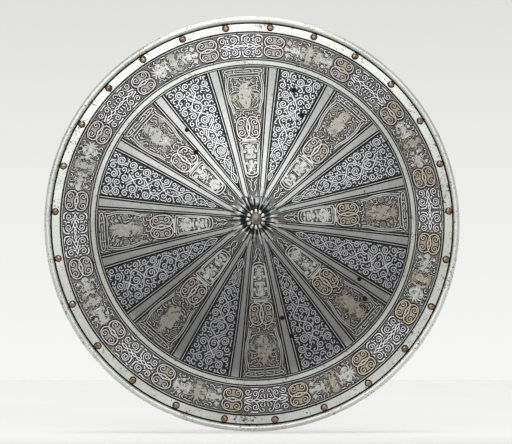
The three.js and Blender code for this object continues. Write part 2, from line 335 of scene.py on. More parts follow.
class Finish:
    """A procedural material, built node by node around one Principled shader."""

    def __init__(self, name, metallic, roughness, painted_shade_share=1.0):
        # Share of the light that the painted shade low on the bowl leaves; 1.0 paints none
        self.painted_shade_share = painted_shade_share
        self.material = bpy.data.materials.new(name)
        self.material.use_nodes = True
        self.tree = self.material.node_tree
        self.shader = self.tree.nodes["Principled BSDF"]
        self.set("Metallic", metallic)
        self.set("Roughness", roughness)
        self.place = node(self.tree, "TexCoord", "Object", {})

    def set(self, name, value):
        feed(self.tree, value, self.shader.inputs[name])

    def noise(self, scale, detail=4.0, roughness=0.55, stretch=None):
        place = self.place
        if stretch is not None:
            place = node(self.tree, "Mapping", "Vector", {"Scale": stretch, "Vector": place})
        inputs = {"Scale": scale, "Detail": detail, "Roughness": roughness, "Vector": place}
        return node(self.tree, "TexNoise", "Fac", inputs)

    def cells(self, scale):
        return node(self.tree, "TexVoronoi", "Distance", {"Scale": scale, "Vector": self.place})

    def axis(self, name):
        return node(self.tree, "SeparateXYZ", name, {"Vector": self.place})

    def ramp(self, value, stops):
        return ramp(self.tree, value, stops)

    def blend(self, share, first, second, kind="MIX"):
        inputs = {0: share, 6: first, 7: second}
        return node(self.tree, "Mix", 2, inputs, data_type="RGBA", blend_type=kind)

    def add(self, first, second, scale=1.0):
        return node(self.tree, "Math", 0, {0: second, 1: scale, 2: first}, operation="MULTIPLY_ADD")

    def fade(self, value, start, end):
        """The share of the light that the painted shade leaves, from all it takes at start to none at end.
        """
        inputs = {"From Min": start, "From Max": end, "To Min": self.painted_shade_share, "Value": value}
        return node(self.tree, "MapRange", "Result", inputs, interpolation_type="SMOOTHSTEP")

    def colour(self, socket):
        """Takes a base colour, darkened by painted shade low down on the bowl, inside the border."""
        reach = node(self.tree, "VectorMath", "Value", {0: self.place}, operation="LENGTH")
        shades = {0: self.fade(self.axis("Z"), *PAINTED_SHADE_HEIGHTS), 1: self.fade(reach, *PAINTED_SHADE_REACH)}
        shade = node(self.tree, "Math", 0, shades, operation="MAXIMUM")
        self.set("Base Color", self.blend(1.0, socket, shade, "MULTIPLY"))

    def between(self, name, value, low, high):
        """Drives a socket of the shader from low, where a value is 0, to high, where it is 1."""
        inputs = {"To Min": low, "To Max": high, "Value": value}
        self.set(name, node(self.tree, "MapRange", "Result", inputs))

    def bump(self, height, depth_mm):
        inputs = {"Distance": depth_mm * MM, "Height": height}
        self.set("Normal", node(self.tree, "Bump", "Normal", inputs))


def worn_steel(name, bright, dull, pit, roughness, pit_share, painted_shade_share=PAINTED_SHADE_SHARE):
    """Old polished steel: cloudy, finely scratched, with small rust pits, and painted shade low on the bowl.
    """
    finish = Finish(name, 1.0, roughness, painted_shade_share)
    cloud = finish.noise(14, detail=5, roughness=0.6)
    base = finish.ramp(cloud, [(0.36, dull), (0.64, bright)])
    scratch = finish.noise(900, detail=2, stretch=(1, 1, 0.12))
    base = finish.blend(0.16, base, finish.ramp(scratch, [(0.35, 0.25), (0.65, 0.9)]), "OVERLAY")
    speck = finish.noise(330, detail=3, roughness=0.7)
    patch = finish.noise(31, detail=2)
    pits = finish.ramp(finish.add(speck, patch, 0.35), [(pit_share, 0.0), (pit_share + 0.035, 1.0)])
    finish.colour(finish.blend(pits, base, pit))
    finish.between("Metallic", pits, 1.0, 0.35)
    finish.between("Roughness", finish.add(scratch, cloud, 0.6), roughness - 0.08, roughness + 0.14)
    finish.bump(finish.add(scratch, pits, -1.6), 0.035)
    return finish.material


def etched_ground(name, dark, light, dots, roughness):
    """Ground eaten by the acid: dull and dark, stippled with small raised dots."""
    finish = Finish(name, 0.55, roughness, PAINTED_SHADE_SHARE)
    finish.set("Specular IOR Level", 0.15)
    cloud = finish.noise(22, detail=5, roughness=0.65)
    base = finish.ramp(cloud, [(0.35, dark), (0.7, light)])
    stipple = finish.ramp(finish.cells(820), [(0.22, 1.0), (0.42, 0.0)])
    finish.colour(finish.blend(stipple, base, dots))
    finish.between("Roughness", cloud, roughness, roughness + 0.2)
    finish.bump(finish.add(cloud, stipple, 0.8), 0.12)
    return finish.material


def gilt_steel(name, gold, worn, dark, roughness, wear):
    """Mercury gilding, rubbed through to the steel, most of all on the left and the top."""
    finish = Finish(name, 1.0, roughness, PAINTED_SHADE_SHARE)
    rub = finish.add(finish.noise(120, detail=6, roughness=0.7), finish.axis("X"), -0.6)
    rub = finish.add(rub, finish.axis("Z"), 0.3)
    base = finish.ramp(rub, [(wear - 0.07, gold), (wear + 0.07, worn)])
    dirt = finish.noise(420, detail=3)
    finish.colour(finish.blend(finish.ramp(dirt, [(0.58, 0.0), (0.72, 0.7)]), base, dark))
    finish.between("Roughness", rub, roughness - 0.05, roughness + 0.15)
    finish.bump(dirt, 0.05)
    return finish.material


def forged_back(name):
    """Back of the plate: black from the forge, with hammer marks and brown rust."""
    finish = Finish(name, 0.7, 0.6)
    scale = finish.noise(26, detail=6, roughness=0.65)
    base = finish.ramp(scale, [(0.32, (0.04, 0.037, 0.036)), (0.55, (0.1, 0.09, 0.082)),
                               (0.75, (0.17, 0.105, 0.062))])
    fine = finish.noise(210, detail=5)
    finish.colour(finish.blend(0.35, base, finish.ramp(fine, [(0.3, 0.02), (0.7, 0.24)]), "OVERLAY"))
    finish.between("Roughness", scale, 0.45, 0.78)
    marks = finish.ramp(finish.cells(95), [(0.0, 0.0), (0.75, 1.0)])
    finish.bump(finish.add(fine, marks, 2.2), 0.28)
    return finish.material


def cast_finish(name, dark, light, metallic, low, high, grain, gloss=0.5):
    """Small fittings: dull worn metal with darker hollows."""
    finish = Finish(name, metallic, low)
    finish.set("Specular IOR Level", gloss)
    wear = finish.noise(grain, detail=5, roughness=0.65)
    finish.colour(finish.ramp(wear, [(0.36, dark), (0.66, light)]))
    finish.between("Roughness", wear, low, high)
    finish.bump(finish.noise(grain * 3, detail=3), 0.06)
    return finish.material


def old_leather(name):
    """Stiff leather, dry and creased, paler where it is rubbed."""
    finish = Finish(name, 0.0, 0.7)
    tone = finish.noise(34, detail=5, roughness=0.65)
    base = finish.ramp(tone, [(0.3, (0.05, 0.026, 0.014)), (0.55, (0.115, 0.062, 0.034)),
                              (0.78, (0.2, 0.125, 0.075))])
    grain = finish.cells(700)
    finish.colour(finish.blend(0.3, base, finish.ramp(grain, [(0.05, 0.12), (0.5, 0.75)]), "OVERLAY"))
    finish.between("Roughness", tone, 0.55, 0.85)
    creases = finish.noise(150, detail=6, roughness=0.7)
    finish.bump(finish.add(grain, creases, 1.2), 0.22)
    return finish.material


# The steels, grounds and gilding below take painted shade low on the bowl; worn_steel's last number is its
# share of light
STEEL = worn_steel("worn_steel", (0.48, 0.485, 0.48), (0.38, 0.385, 0.38), (0.09, 0.06, 0.045),
                   0.3, 0.845, 0.45)
RIM_STEEL = worn_steel("rim_steel", (0.66, 0.677, 0.628), (0.535, 0.55, 0.51), (0.08, 0.055, 0.04),
                       0.34, 0.8)
LINE_STEEL = worn_steel("ornament_steel", (0.86, 0.865, 0.87), (0.74, 0.745, 0.75), (0.1, 0.09, 0.08),
                        0.36, 0.86, 0.52)
TROPHY_STEEL = worn_steel("trophy_steel", (0.66, 0.665, 0.64), (0.53, 0.535, 0.515), (0.1, 0.08, 0.07),
                          0.42, 0.84)
# Dark steel painted as shade round and under the rosette, in the shank hole and in the flutes
SHADE_STEEL = worn_steel("painted_shade_steel", (0.2, 0.215, 0.235), (0.05, 0.055, 0.062), (0.03, 0.02, 0.015),
                          0.4, 0.82)
FIGURE_STEEL = gilt_steel("figure_steel", (0.43, 0.382, 0.31), (0.44, 0.445, 0.4), (0.12, 0.11, 0.1),
                          0.46, 0.46)
GILT = gilt_steel("worn_gilding", (0.68, 0.6, 0.46), (0.66, 0.65, 0.635), (0.09, 0.08, 0.07), 0.4, 0.45)
GILT_FIELD = gilt_steel("gilt_field", (0.43, 0.37, 0.295), (0.385, 0.37, 0.365), (0.08, 0.07, 0.065),
                        0.5, 0.5)
SCROLL_GROUND = etched_ground("scroll_ground", (0.019, 0.02, 0.027), (0.06, 0.062, 0.078),
                              (0.112, 0.115, 0.132), 0.55)
TROPHY_GROUND = etched_ground("trophy_ground", (0.13, 0.126, 0.146), (0.262, 0.232, 0.226),
                              (0.37, 0.345, 0.34), 0.5)
# Black of the etched lines, also painted as shade in the roll's crease, the strap holes' walls and the
# flutes' troughs
BLACKENING_AND_SHADE = cast_finish("blackening_and_painted_shade", (0.005, 0.005, 0.006), (0.022, 0.021, 0.022),
                     0.0, 0.7, 0.9, 90, 0.1)
BACK_STEEL = forged_back("forged_back")
PLATE_MATERIALS = [STEEL, BLACKENING_AND_SHADE, SCROLL_GROUND, TROPHY_GROUND, RIM_STEEL, BACK_STEEL, SHADE_STEEL]
PLATE_STEEL, PLATE_BLACKENING_AND_SHADE, PLATE_SCROLL, PLATE_TROPHY, PLATE_RIM, PLATE_BACK, PLATE_SHADE = range(7)


# The plate

# Where in an edge line's width its thin raised line starts and ends
GROOVE_SHARE = 0.4
LINE_SHARE = 0.62
# Half the width of the slope at each edge of the relief
RAMP = 0.12
# Inner and outer edge of the ring's raised lines, outside PANEL_RADIUS, and of the border's, outside
# DISH_RADIUS
RING_LINES = [(-1.3, -0.3), (1.4, 7.2), (8.9, 10.0)]
BORDER_LINE = (-3.9, -2.7)
PANEL_END = PANEL_RADIUS - 2.2
# Half the angle that a scroll panel keeps where the lines beside it close in
SCROLL_GAP = math.radians(0.5)
# Width over which the columns get evenly spaced towards the seat of the rosette
EVENING_WIDTH = 4.0
# Radius of a row hidden by the rosette, then the counts of columns and rows
UNDER_ROSETTE = 9.0
PANEL_COLUMNS = 6
FLUTE_ROWS = 18
STRIP_ROWS = 36
BORDER_ROWS = 8
FLANGE_ROWS = 6


def half_sector(r):
    """Columns from the middle of a trophy panel to the middle of the next scroll panel.

    Each is an angle, whether it stands at full height, and the slot of the faces after it.
    """
    line, strip = strip_widths(r)
    scale = min(1.0, r / MEET_RADIUS)
    line = line * scale
    strip = strip * scale
    ramp = RAMP * scale
    edges = [
        (GROOVE_SHARE * line, True), (LINE_SHARE * line, False),
        (line, True), (line + strip, False),
        (line + strip + GROOVE_SHARE * line, True), (line + strip + LINE_SHARE * line, False),
    ]
    columns = [(TROPHY_HALF * i / PANEL_COLUMNS, False, PLATE_TROPHY) for i in range(PANEL_COLUMNS)]
    columns.append((TROPHY_HALF, False, PLATE_BLACKENING_AND_SHADE))
    squeeze_from = TROPHY_HALF + (line + strip) / r
    ends = TROPHY_HALF + (2 * line + strip) / r
    squeeze = min(1.0, (SECTOR / 2 - SCROLL_GAP - squeeze_from) / (ends - squeeze_from))

    def angle_of(offset):
        angle = TROPHY_HALF + offset / r
        return angle if angle <= squeeze_from else squeeze_from + (angle - squeeze_from) * squeeze

    for offset, rises in edges:
        columns.append((angle_of(offset - ramp), not rises, PLATE_BLACKENING_AND_SHADE))
        raised = PLATE_STEEL if offset == line else PLATE_RIM
        columns.append((angle_of(offset + ramp), rises, raised if rises else PLATE_BLACKENING_AND_SHADE))
        if offset == line:
            columns += [(angle_of(line + strip * i / 3), True, PLATE_STEEL) for i in (1, 2)]
    start = angle_of(2 * line + strip)
    for i in range(PANEL_COLUMNS):
        columns.append((mix(start, SECTOR / 2, i / PANEL_COLUMNS), False, PLATE_SCROLL))
    columns.append((SECTOR / 2, False, PLATE_SCROLL))
    return columns


def ring_columns(r):
    """All the columns round the shield at one radius: angles, heights and slots."""
    half = half_sector(r)
    count = len(half) - 1
    angles = [-a for a, _, _ in reversed(half[1:-1])] + [a for a, _, _ in half]
    full = [f for _, f, _ in reversed(half[1:-1])] + [f for _, f, _ in half]
    slots = [s for _, _, s in reversed(half[:-2])] + [s for _, _, s in half[:-1]] + [PLATE_SCROLL]
    even = (np.arange(len(angles)) - (count - 1)) * SECTOR / (2 * count)
    near_seat = 1 - smooth(r, SEAT_RADIUS - EVENING_WIDTH, SEAT_RADIUS)
    evened = max(smooth(r, RING_RADIUS, DISH_RADIUS), near_seat)
    sector = mix(np.array(angles), even, float(evened))
    angles = [sector + TROPHY_TURN + k * SECTOR for k in range(SECTOR_COUNT)]
    return np.concatenate(angles), np.tile(full, SECTOR_COUNT), np.tile(slots, SECTOR_COUNT)


def line_rows(start, lines, end):
    """Rows across rings of raised lines: each line is its inner and outer radius."""
    rows = [(start, "sunk", PLATE_BLACKENING_AND_SHADE)]
    for inner, outer in lines:
        rows += [(inner - RAMP, "sunk", PLATE_BLACKENING_AND_SHADE), (inner + RAMP, "full", PLATE_RIM)]
        rows += [((inner + outer) / 2, "full", PLATE_RIM)] if outer - inner > 2 else []
        rows += [(outer - RAMP, "full", PLATE_BLACKENING_AND_SHADE), (outer + RAMP, "sunk", PLATE_BLACKENING_AND_SHADE)]
    return rows + [(end, "sunk", PLATE_BLACKENING_AND_SHADE)]


def front_rows():
    """Radius, relief and slot of each row over the front, from the middle to the flange's edge."""
    # Under the rosette the plate is painted dark as shade
    rows = [(SHANK_HOLE_RADIUS, "full", PLATE_SHADE), (UNDER_ROSETTE, "full", PLATE_SHADE)]
    flutes_at = [11, 12.5, 14, SEAT_RADIUS, *np.linspace(SEAT_RADIUS + 1, FLUTE_END, FLUTE_ROWS)]
    rows += [(r, "flutes", None) for r in flutes_at]
    rows += [(r, "strips", None) for r in np.linspace(FLUTE_END + 1, MEET_RADIUS, 4)]
    rows += [(r, "strips", None) for r in np.linspace(MEET_RADIUS + 4, PANEL_END - 2, STRIP_ROWS)]
    rows += [(PANEL_END - 0.35, "strips", PLATE_BLACKENING_AND_SHADE)]
    ring = [(PANEL_RADIUS + inner, PANEL_RADIUS + outer) for inner, outer in RING_LINES]
    ring_end = ring[-1][1]
    rows += line_rows(PANEL_END - 0.1, ring, ring_end + 0.9)
    border_at = np.linspace(ring_end + 1.2, DISH_RADIUS - 5.0, BORDER_ROWS)
    rows += [(r, "sunk", PLATE_TROPHY) for r in border_at]
    edge = [tuple(DISH_RADIUS + place for place in BORDER_LINE)]
    rows += line_rows(DISH_RADIUS - 4.8, edge, DISH_RADIUS - 0.9)
    flange_at = [DISH_RADIUS - 0.5, DISH_RADIUS,
                 *np.linspace(DISH_RADIUS + 1.5, FLANGE_RADIUS - 0.5, FLANGE_ROWS)]
    rows += [(r, "full", PLATE_RIM) for r in flange_at]
    # The flange's last row starts the crease, painted dark as its shade
    return rows + [(FLANGE_RADIUS, "full", PLATE_BLACKENING_AND_SHADE)]


# Rows round the inside of the roll, and how many more round its outside, where the first is painted
# dark as the crease's shade
ARC_STEPS = 18
LIP_STEPS = 6
SHADED_CREASE_ROWS = 1
FLANGE_MIDDLE = 272.0
BACK_ROWS = 26
BOSS_BACK_ROWS = 8
# Where round the wire the roll starts and ends
CREASE_TURN = math.radians(193)
LIP_TURN = math.radians(520)


def roll_rows():
    """Radius and depth of each row round the rolled rim: outside, lip, then inside."""
    arcs = [(ROLL_OUTER, CREASE_TURN, LIP_TURN, ARC_STEPS + LIP_STEPS),
            (ROLL_INNER, LIP_TURN, CREASE_TURN, ARC_STEPS)]
    return [(ROLL_RADIUS + reach * math.cos(a), ROLL_Y + reach * math.sin(a))
            for reach, start, end, steps in arcs for a in np.linspace(start, end, steps)]


def back_rows():
    """Radius and depth of each row over the back, from the rim to the middle."""
    radii = [FLANGE_RADIUS, FLANGE_MIDDLE, DISH_RADIUS,
             *np.linspace(DISH_RADIUS - 6, BOSS_RADIUS + 4, BACK_ROWS),
             *np.linspace(BOSS_RADIUS, SEAT_RADIUS, BOSS_BACK_ROWS), UNDER_ROSETTE, SHANK_HOLE_RADIUS]
    return [(r, float(front_y(r)) + PLATE_THICKNESS * math.hypot(1, float(slope_at(r)))) for r in radii]


# Radii between which the ragged end of the flutes lies
FLUTE_START = 23.0
FLUTE_END = 37.0
FLUTE_HEIGHT = 0.45
# Count round the boss, phase, drift with the radius, and height of each wave of the flutes
FLUTE_WAVES = [(24, 0.4, 0.0, 1.0), (41, 1.1, 0.03, 0.75), (67, 2.0, -0.05, 0.6), (5, 0.3, 0.0, 0.35)]


def flutes(angles, r):
    """Height and slot of each column of the worn radial flutes on the boss, and where they reach. The slots
    paint light and shade.
    """
    wave = sum(height * np.sin(count * angles + turn + drift * r)
               for count, turn, drift, height in FLUTE_WAVES)
    rise = np.clip(0.5 + 0.4 * wave, -0.2, 1.3) * FLUTE_HEIGHT
    rise = mix(ETCH_DEPTH, rise, float(smooth(r, SEAT_RADIUS, SEAT_RADIUS + 3)))
    # Painted light and shade: darkest next to the rosette, brightest on the flutes' crests, dark in their
    # troughs
    shade = wave + 1.9 * float(smooth(r, SEAT_RADIUS + 1, SEAT_RADIUS + 8)) - 1.4
    slots = np.select([shade > 1.0, shade > 0.3, shade > -0.6], [PLATE_RIM, PLATE_STEEL, PLATE_SHADE],
                      PLATE_BLACKENING_AND_SHADE)
    ragged = np.sin(31 * angles + 1) + 0.8 * np.sin(53 * angles) + 0.6 * np.sin(11 * angles + 0.4)
    worn = r < mix(FLUTE_START, FLUTE_END, 0.5 + 0.25 * ragged)
    return rise / ETCH_DEPTH, slots, worn


# Nicks in the rim's edge: angle in degrees, half width along the edge, and depth
NOTCHES = [(227.4, 3.2, 1.1), (203.2, 3.0, 1.2), (41.0, 3.6, 0.7), (128.5, 3.0, 0.8), (331.0, 4.0, 0.6)]


def notches(angles):
    total = np.zeros(len(angles))
    for turn, half, depth in NOTCHES:
        away = np.angle(np.exp(1j * (angles - math.radians(turn)))) * SHIELD_RADIUS / half
        total = total + depth * np.exp(-away * away)
    return total


def plate_piece():
    rings = []
    slots = []
    for r, relief, slot in front_rows():
        angles, full, column_slots = ring_columns(float(r))
        count = len(angles)
        reliefs = {"full": np.ones(count), "sunk": np.zeros(count)}
        height = reliefs.get(relief, full.astype(float))
        if relief == "flutes":
            fluted, flute_slots, worn = flutes(angles, float(r))
            height = np.where(worn, fluted, full)
            column_slots = np.where(worn, flute_slots, column_slots)
        rings.append(on_plate(angles, np.full(count, float(r)), height * ETCH_DEPTH))
        slots.append(column_slots if slot is None else np.full(count, slot))
    angles = ring_columns(DISH_RADIUS)[0]
    for j, (r, y) in enumerate(roll_rows()):
        on_outside = j < ARC_STEPS
        dented = r - notches(angles) * float(smooth(r, ROLL_RADIUS, SHIELD_RADIUS)) * on_outside
        rings.append(ring(dented, y, angles))
        # The crease rows are painted dark as shade
        slots.append(np.full(len(angles), PLATE_BLACKENING_AND_SHADE if j < SHADED_CREASE_ROWS else PLATE_RIM))
    for r, y in back_rows():
        rows = ring(r, y, ring_columns(float(r))[0])
        rows[:, 1] -= hammered(rows[:, 0], rows[:, 2])
        rings.append(rows)
        slots.append(np.full(len(angles), PLATE_BACK))
    # The shank hole's wall is painted dark as shade
    slots[-1][:] = PLATE_SHADE
    points, faces = skin(rings, True)
    return mesh_object("shield_plate_etched", points, faces, np.concatenate(slots), PLATE_MATERIALS,
                       crease_deg=PLATE_CREASE_DEG)


CUTTER_SIDES = 32
CUTTER_LENGTH = 12.0
HOLE_PLACES = [(math.radians(turn), share * DISH_RADIUS) for share, turn in STRAP_HOLES]
HOLE_POINTS = np.array([(r * math.sin(a), r * math.cos(a)) for a, r in HOLE_PLACES])


def punch_strap_holes(plate):
    """Cuts the holes of the lost straps right through the plate."""
    cutter_mesh = bpy.data.meshes.new("cutter")
    build = bmesh.new()
    for angle, r in HOLE_PLACES:
        made = bmesh.ops.create_cone(build, cap_ends=True, segments=CUTTER_SIDES, depth=CUTTER_LENGTH * MM,
                                     radius1=STRAP_HOLE_RADIUS * MM, radius2=STRAP_HOLE_RADIUS * MM)
        normal = Vector((0, -1, float(slope_at(r)))).normalized()
        turn = normal.to_track_quat("Z", "Y").to_matrix().to_4x4()
        turn.translation = Vector((0, float(front_y(r)), r)) * MM
        for vertex in made["verts"]:
            point = turn @ vertex.co
            x, z = turn_about_y(point.x, point.z, angle)
            vertex.co = (x, point.y, z)
    build.to_mesh(cutter_mesh)
    build.free()
    for material in PLATE_MATERIALS:
        cutter_mesh.materials.append(material)
    # The holes' walls are painted black as shade
    walls = cutter_mesh.polygons
    walls.foreach_set("material_index", np.full(len(walls), PLATE_BLACKENING_AND_SHADE, np.int32))
    cutter = bpy.data.objects.new("cutter", cutter_mesh)
    bpy.context.scene.collection.objects.link(cutter)
    cut = plate.modifiers.new("holes", "BOOLEAN")
    cut.object = cutter
    cut.operation = "DIFFERENCE"
    cut.solver = "EXACT"
    bpy.context.view_layer.objects.active = plate
    bpy.ops.object.modifier_apply(modifier="holes")
    bpy.data.objects.remove(cutter)
    plate.data.set_sharp_from_angle(angle=math.radians(PLATE_CREASE_DEG))


# Ornament left standing by the etching

ORNAMENT_MATERIALS = [LINE_STEEL, TROPHY_STEEL, GILT, GILT_FIELD, BLACKENING_AND_SHADE, FIGURE_STEEL]
BRIGHT, SILVER, GOLD, GOLD_FIELD, DARK, DULL = range(6)
# Distance between a stroke's points, depth and spread of its foot, and its clearance from holes
STEP = 1.3
ROOT = -0.15
FLARE = 0.14
HOLE_MARGIN = 0.9
# Heights over the sunk ground. The next stroke stands a step higher, up to a number of steps.
STROKE_STEP = 0.006
STROKE_STEPS = 9
OUTLINE_HEIGHT = 0.22
FIELD_HEIGHT = 0.16
FIGURE_HEIGHT = 0.31
DOT_SIDES = 8


class Relief:
    """Raised lines and fields, gathered as points on the plate."""

    def __init__(self):
        self.points = []
        self.faces = []
        self.slots = []
        self.count = 0
        self.strokes = 0
        self.drawn = []

    def lift(self):
        """Added height of the next stroke. Strokes that cross differ a little, as the acid leaves them."""
        self.strokes += 1
        return STROKE_STEP * (self.strokes % STROKE_STEPS)

    def add(self, points, faces, slot):
        self.points.append(points)
        self.faces += [[v + self.count for v in face] for face in faces]
        self.slots += [slot] * len(faces)
        self.count += len(points)

    def ribbon(self, left, right, left_base, right_base, closed, slot):
        """A raised line from the places of its four long edges, each an (n, 3) array."""
        n = len(left)
        points = np.stack([left_base, left, right, right_base], axis=1).reshape(-1, 3)
        here = np.arange(n if closed else n - 1)
        after = (here + 1) % n
        faces = []
        for edge in range(4):
            side = (edge + 1) % 4
            corners = [4 * here + edge, 4 * here + side, 4 * after + side, 4 * after + edge]
            faces += np.stack(corners, axis=-1).tolist()
        if not closed:
            last = 4 * (n - 1)
            faces += [[3, 2, 1, 0], [last, last + 1, last + 2, last + 3]]
        self.add(points, faces, slot)

    def field(self, top, base, middle_top, middle_base, slot):
        """A raised field with a star-shaped outline."""
        n = len(top)
        here = np.arange(n)
        after = (here + 1) % n
        points = np.concatenate([top, base, [middle_top, middle_base]])
        sides = np.stack([here, n + here, n + after, after], axis=-1).tolist()
        lid = np.stack([np.full(n, 2 * n), here, after], axis=-1).tolist()
        floor = np.stack([np.full(n, 2 * n + 1), n + after, n + here], axis=-1).tolist()
        self.add(points, sides + lid + floor, slot)

    def piece(self, name):
        points = np.concatenate(self.points)
        made = mesh_object(name, points, self.faces, self.slots, ORNAMENT_MATERIALS, flat=True)
        belongs(made, "etched_steel")


def clear_of_holes(points):
    away = np.hypot(points[:, None, 0] - HOLE_POINTS[:, 0], points[:, None, 2] - HOLE_POINTS[:, 1])
    return away.min(axis=1) > STRAP_HOLE_RADIUS + HOLE_MARGIN


class Pen:
    """Draws on one panel. Places are complex numbers: across plus 1j times outwards."""

    def __init__(self, relief, axis, spread=None, slot=BRIGHT, edge=0.0, grow=1 + 0j, shift=0j,
                 mirror=False):
        self.relief = relief
        self.axis = axis
        self.spread = spread
        self.slot = slot
        self.edge = edge
        self.grow = grow
        self.shift = shift
        self.mirror = mirror

    def at(self, place, size=1.0, turn_deg=0.0, mirror=False, slot=None, edge=None):
        """A pen that draws smaller, turned or mirrored about a place of this one."""
        turn = math.radians(turn_deg)
        grow = size * complex(math.cos(turn), math.sin(turn))
        if self.mirror:
            grow = grow.conjugate()
            place = complex(place).conjugate()
        return Pen(self.relief, self.axis, self.spread, self.slot if slot is None else slot,
                   self.edge if edge is None else edge, self.grow * grow, self.grow * place + self.shift,
                   self.mirror != mirror)

    def panel(self, places):
        places = np.asarray(places, complex)
        return self.grow * (np.conj(places) if self.mirror else places) + self.shift

    def on(self, panel_places, height):
        r = panel_places.imag
        angle = self.axis + panel_places.real / (r if self.spread is None else self.spread)
        return on_plate(angle, r, height)

    def line(self, places, width, closed=False, leaf=False):
        path = self.panel(places)
        if closed:
            path = np.append(path, path[0])
        path = resample(path, STEP)
        if closed:
            path = path[:-1]
        ahead = np.roll(path, -1) - np.roll(path, 1) if closed else np.gradient(path)
        side = 1j * ahead / np.maximum(np.abs(ahead), 1e-9)
        half = widths_along(len(path), width, leaf) / 2
        keep = clear_of_holes(self.on(path, 0))
        if keep.all():
            self.stroke(path, side, half, closed)
            return
        edges = np.flatnonzero(np.diff(np.concatenate([[0], keep.astype(int), [0]])))
        for first, last in zip(edges[::2], edges[1::2]):
            if last - first > 1:
                self.stroke(path[first:last], side[first:last], half[first:last], False)

    def arc(self, places, steps, width, leaf=False):
        """A line along a smooth path through a few places."""
        self.line(curve(places, steps), width, leaf=leaf)

    def stroke(self, path, side, half, closed):
        lift = self.relief.lift()
        self.relief.drawn.append((path, float(half.max())))
        self.ridge(path, side, half, ETCH_DEPTH + lift, closed, self.slot)
        if self.edge:
            self.ridge(path, side, half + self.edge, OUTLINE_HEIGHT + lift, closed, DARK)

    def ridge(self, path, side, half, height, closed, slot):
        foot = half + FLARE
        top = (self.on(path + side * half, height), self.on(path - side * half, height))
        base = (self.on(path + side * foot, ROOT), self.on(path - side * foot, ROOT))
        self.relief.ribbon(*top, *base, closed, slot)

    def fill(self, places, height=ETCH_DEPTH):
        """A raised field whose outline can be seen whole from its middle."""
        outline = resample(np.append(self.panel(places), self.panel(places[:1])), STEP)[:-1]
        middle = outline.mean()
        if not clear_of_holes(self.on(outline, 0)).all():
            return
        area = (np.conj(outline) * np.roll(outline, -1)).imag.sum()
        if area > 0:
            outline = outline[::-1]
        for share in (0.0, 0.35, 0.7):
            self.relief.drawn.append((mix(outline, middle, share), 0.4))
        self.raise_field(outline, middle, height)

    def raise_field(self, outline, middle, height=ETCH_DEPTH):
        centre = np.array([middle])
        away = (outline - middle) / np.maximum(np.abs(outline - middle), 1e-9)
        lift = self.relief.lift()
        levels = [(outline, height + lift, self.slot)]
        if self.edge:
            levels.append((outline + self.edge * away, min(OUTLINE_HEIGHT, height - 0.1) + lift, DARK))
        for rim, level, slot in levels:
            self.relief.field(self.on(rim, level), self.on(rim + FLARE * away, ROOT),
                              self.on(centre, level)[0], self.on(centre, ROOT)[0], slot)

    def dot(self, place, radius):
        """A round boss of a radius in millimetres."""
        middle = self.panel([place])[0]
        outline = middle + radius * np.exp(-1j * even_turns(DOT_SIDES))
        if clear_of_holes(self.on(outline, 0)).all():
            self.relief.drawn.append((np.array([middle, middle]), radius))
            self.raise_field(outline, middle)


def widths_along(count, width, leaf):
    """Widths of a stroke's places, from one width or several. A leaf is widest in the middle."""
    t = np.linspace(0, 1, count)
    if leaf:
        return width * (0.3 + 0.7 * np.sin(math.pi * t) ** 0.8)
    if np.ndim(width):
        return np.interp(t, np.linspace(0, 1, len(width)), width)
    return np.full(count, float(width))


def resample(path, step):
    length = np.concatenate([[0], np.cumsum(np.abs(np.diff(path)))])
    count = max(4, int(math.ceil(length[-1] / step)) + 1)
    even = np.linspace(0, length[-1], count)
    return np.interp(even, length, path.real) + 1j * np.interp(even, length, path.imag)


def curve(points, steps):
    """A smooth path through a few places."""
    p = [complex(q) for q in points]
    p = [2 * p[0] - p[1], *p, 2 * p[-1] - p[-2]]
    path = []
    for a, b, c, d in zip(p, p[1:], p[2:], p[3:]):
        for i in range(steps):
            t = i / steps
            path.append(0.5 * (2 * b + (c - a) * t + (2 * a - 5 * b + 4 * c - d) * t * t
                               + (3 * b - a - 3 * c + d) * t ** 3))
    return np.array(path + [p[-2]])


SPIRAL_EYE = 1.3
SPIRAL_PITCH = 2.5
SPIRAL_STEPS = 44
ELLIPSE_STEPS = 40


def spiral(middle, radius, start, hand, peel=0.0, pitch=SPIRAL_PITCH, eye=SPIRAL_EYE):
    """A curl from its outer end to its eye. peel lifts the outer end towards a parent line."""
    turns = max((radius - eye) / pitch, 0.55)
    t = np.linspace(0, 1, SPIRAL_STEPS)
    reach = mix(radius, eye, t ** 1.08) + peel * np.maximum(1 - t * turns / 0.16, 0) ** 2
    return middle + reach * np.exp(1j * (start + hand * TURN * turns * t))


def ellipse(middle, across, along, power=2.0):
    """An oval that gets squarer as the power goes up."""
    turns = even_turns(ELLIPSE_STEPS)
    across, along = (reach * np.sign(wave) * np.abs(wave) ** (2 / power)
                     for reach, wave in ((across, np.cos(turns)), (along, np.sin(turns))))
    return middle + across + 1j * along


# Scrollwork: stems first, then curls packed into the space they leave

# Seeds of what is drawn by chance
SCROLL_SEED = 100
TROPHY_SEED = 200
BORDER_SCROLL_SEED = 300
BORDER_TROPHY_SEED = 400
RIVET_SEED = 31
WASHER_SEED = 32
# Least and greatest radius of the curls, and the smallest that is still fitted in
PANEL_CURLS = (3.6, 7.0, 2.0)
BORDER_CURLS = (4.6, 6.4, 2.4)
FILLER_CURLS = (2.0, 3.2, 1.7)
# Least and greatest half width of the leaves
PANEL_LEAVES = (0.28, 0.62)
BORDER_LEAVES = (0.45, 0.85)
FILLER_LEAVES = (0.4, 0.7)
# Steps of the grids on which free space is measured
PANEL_GRID = 0.6
BORDER_GRID = 0.5
FILLER_GRID = 0.7
LINE_WIDTH = 1.1
STEM_WIDTH = 1.3
BORDER_STEM_WIDTH = 1.4
CURL_GAP = 0.72
BORDER_GAP = 0.95
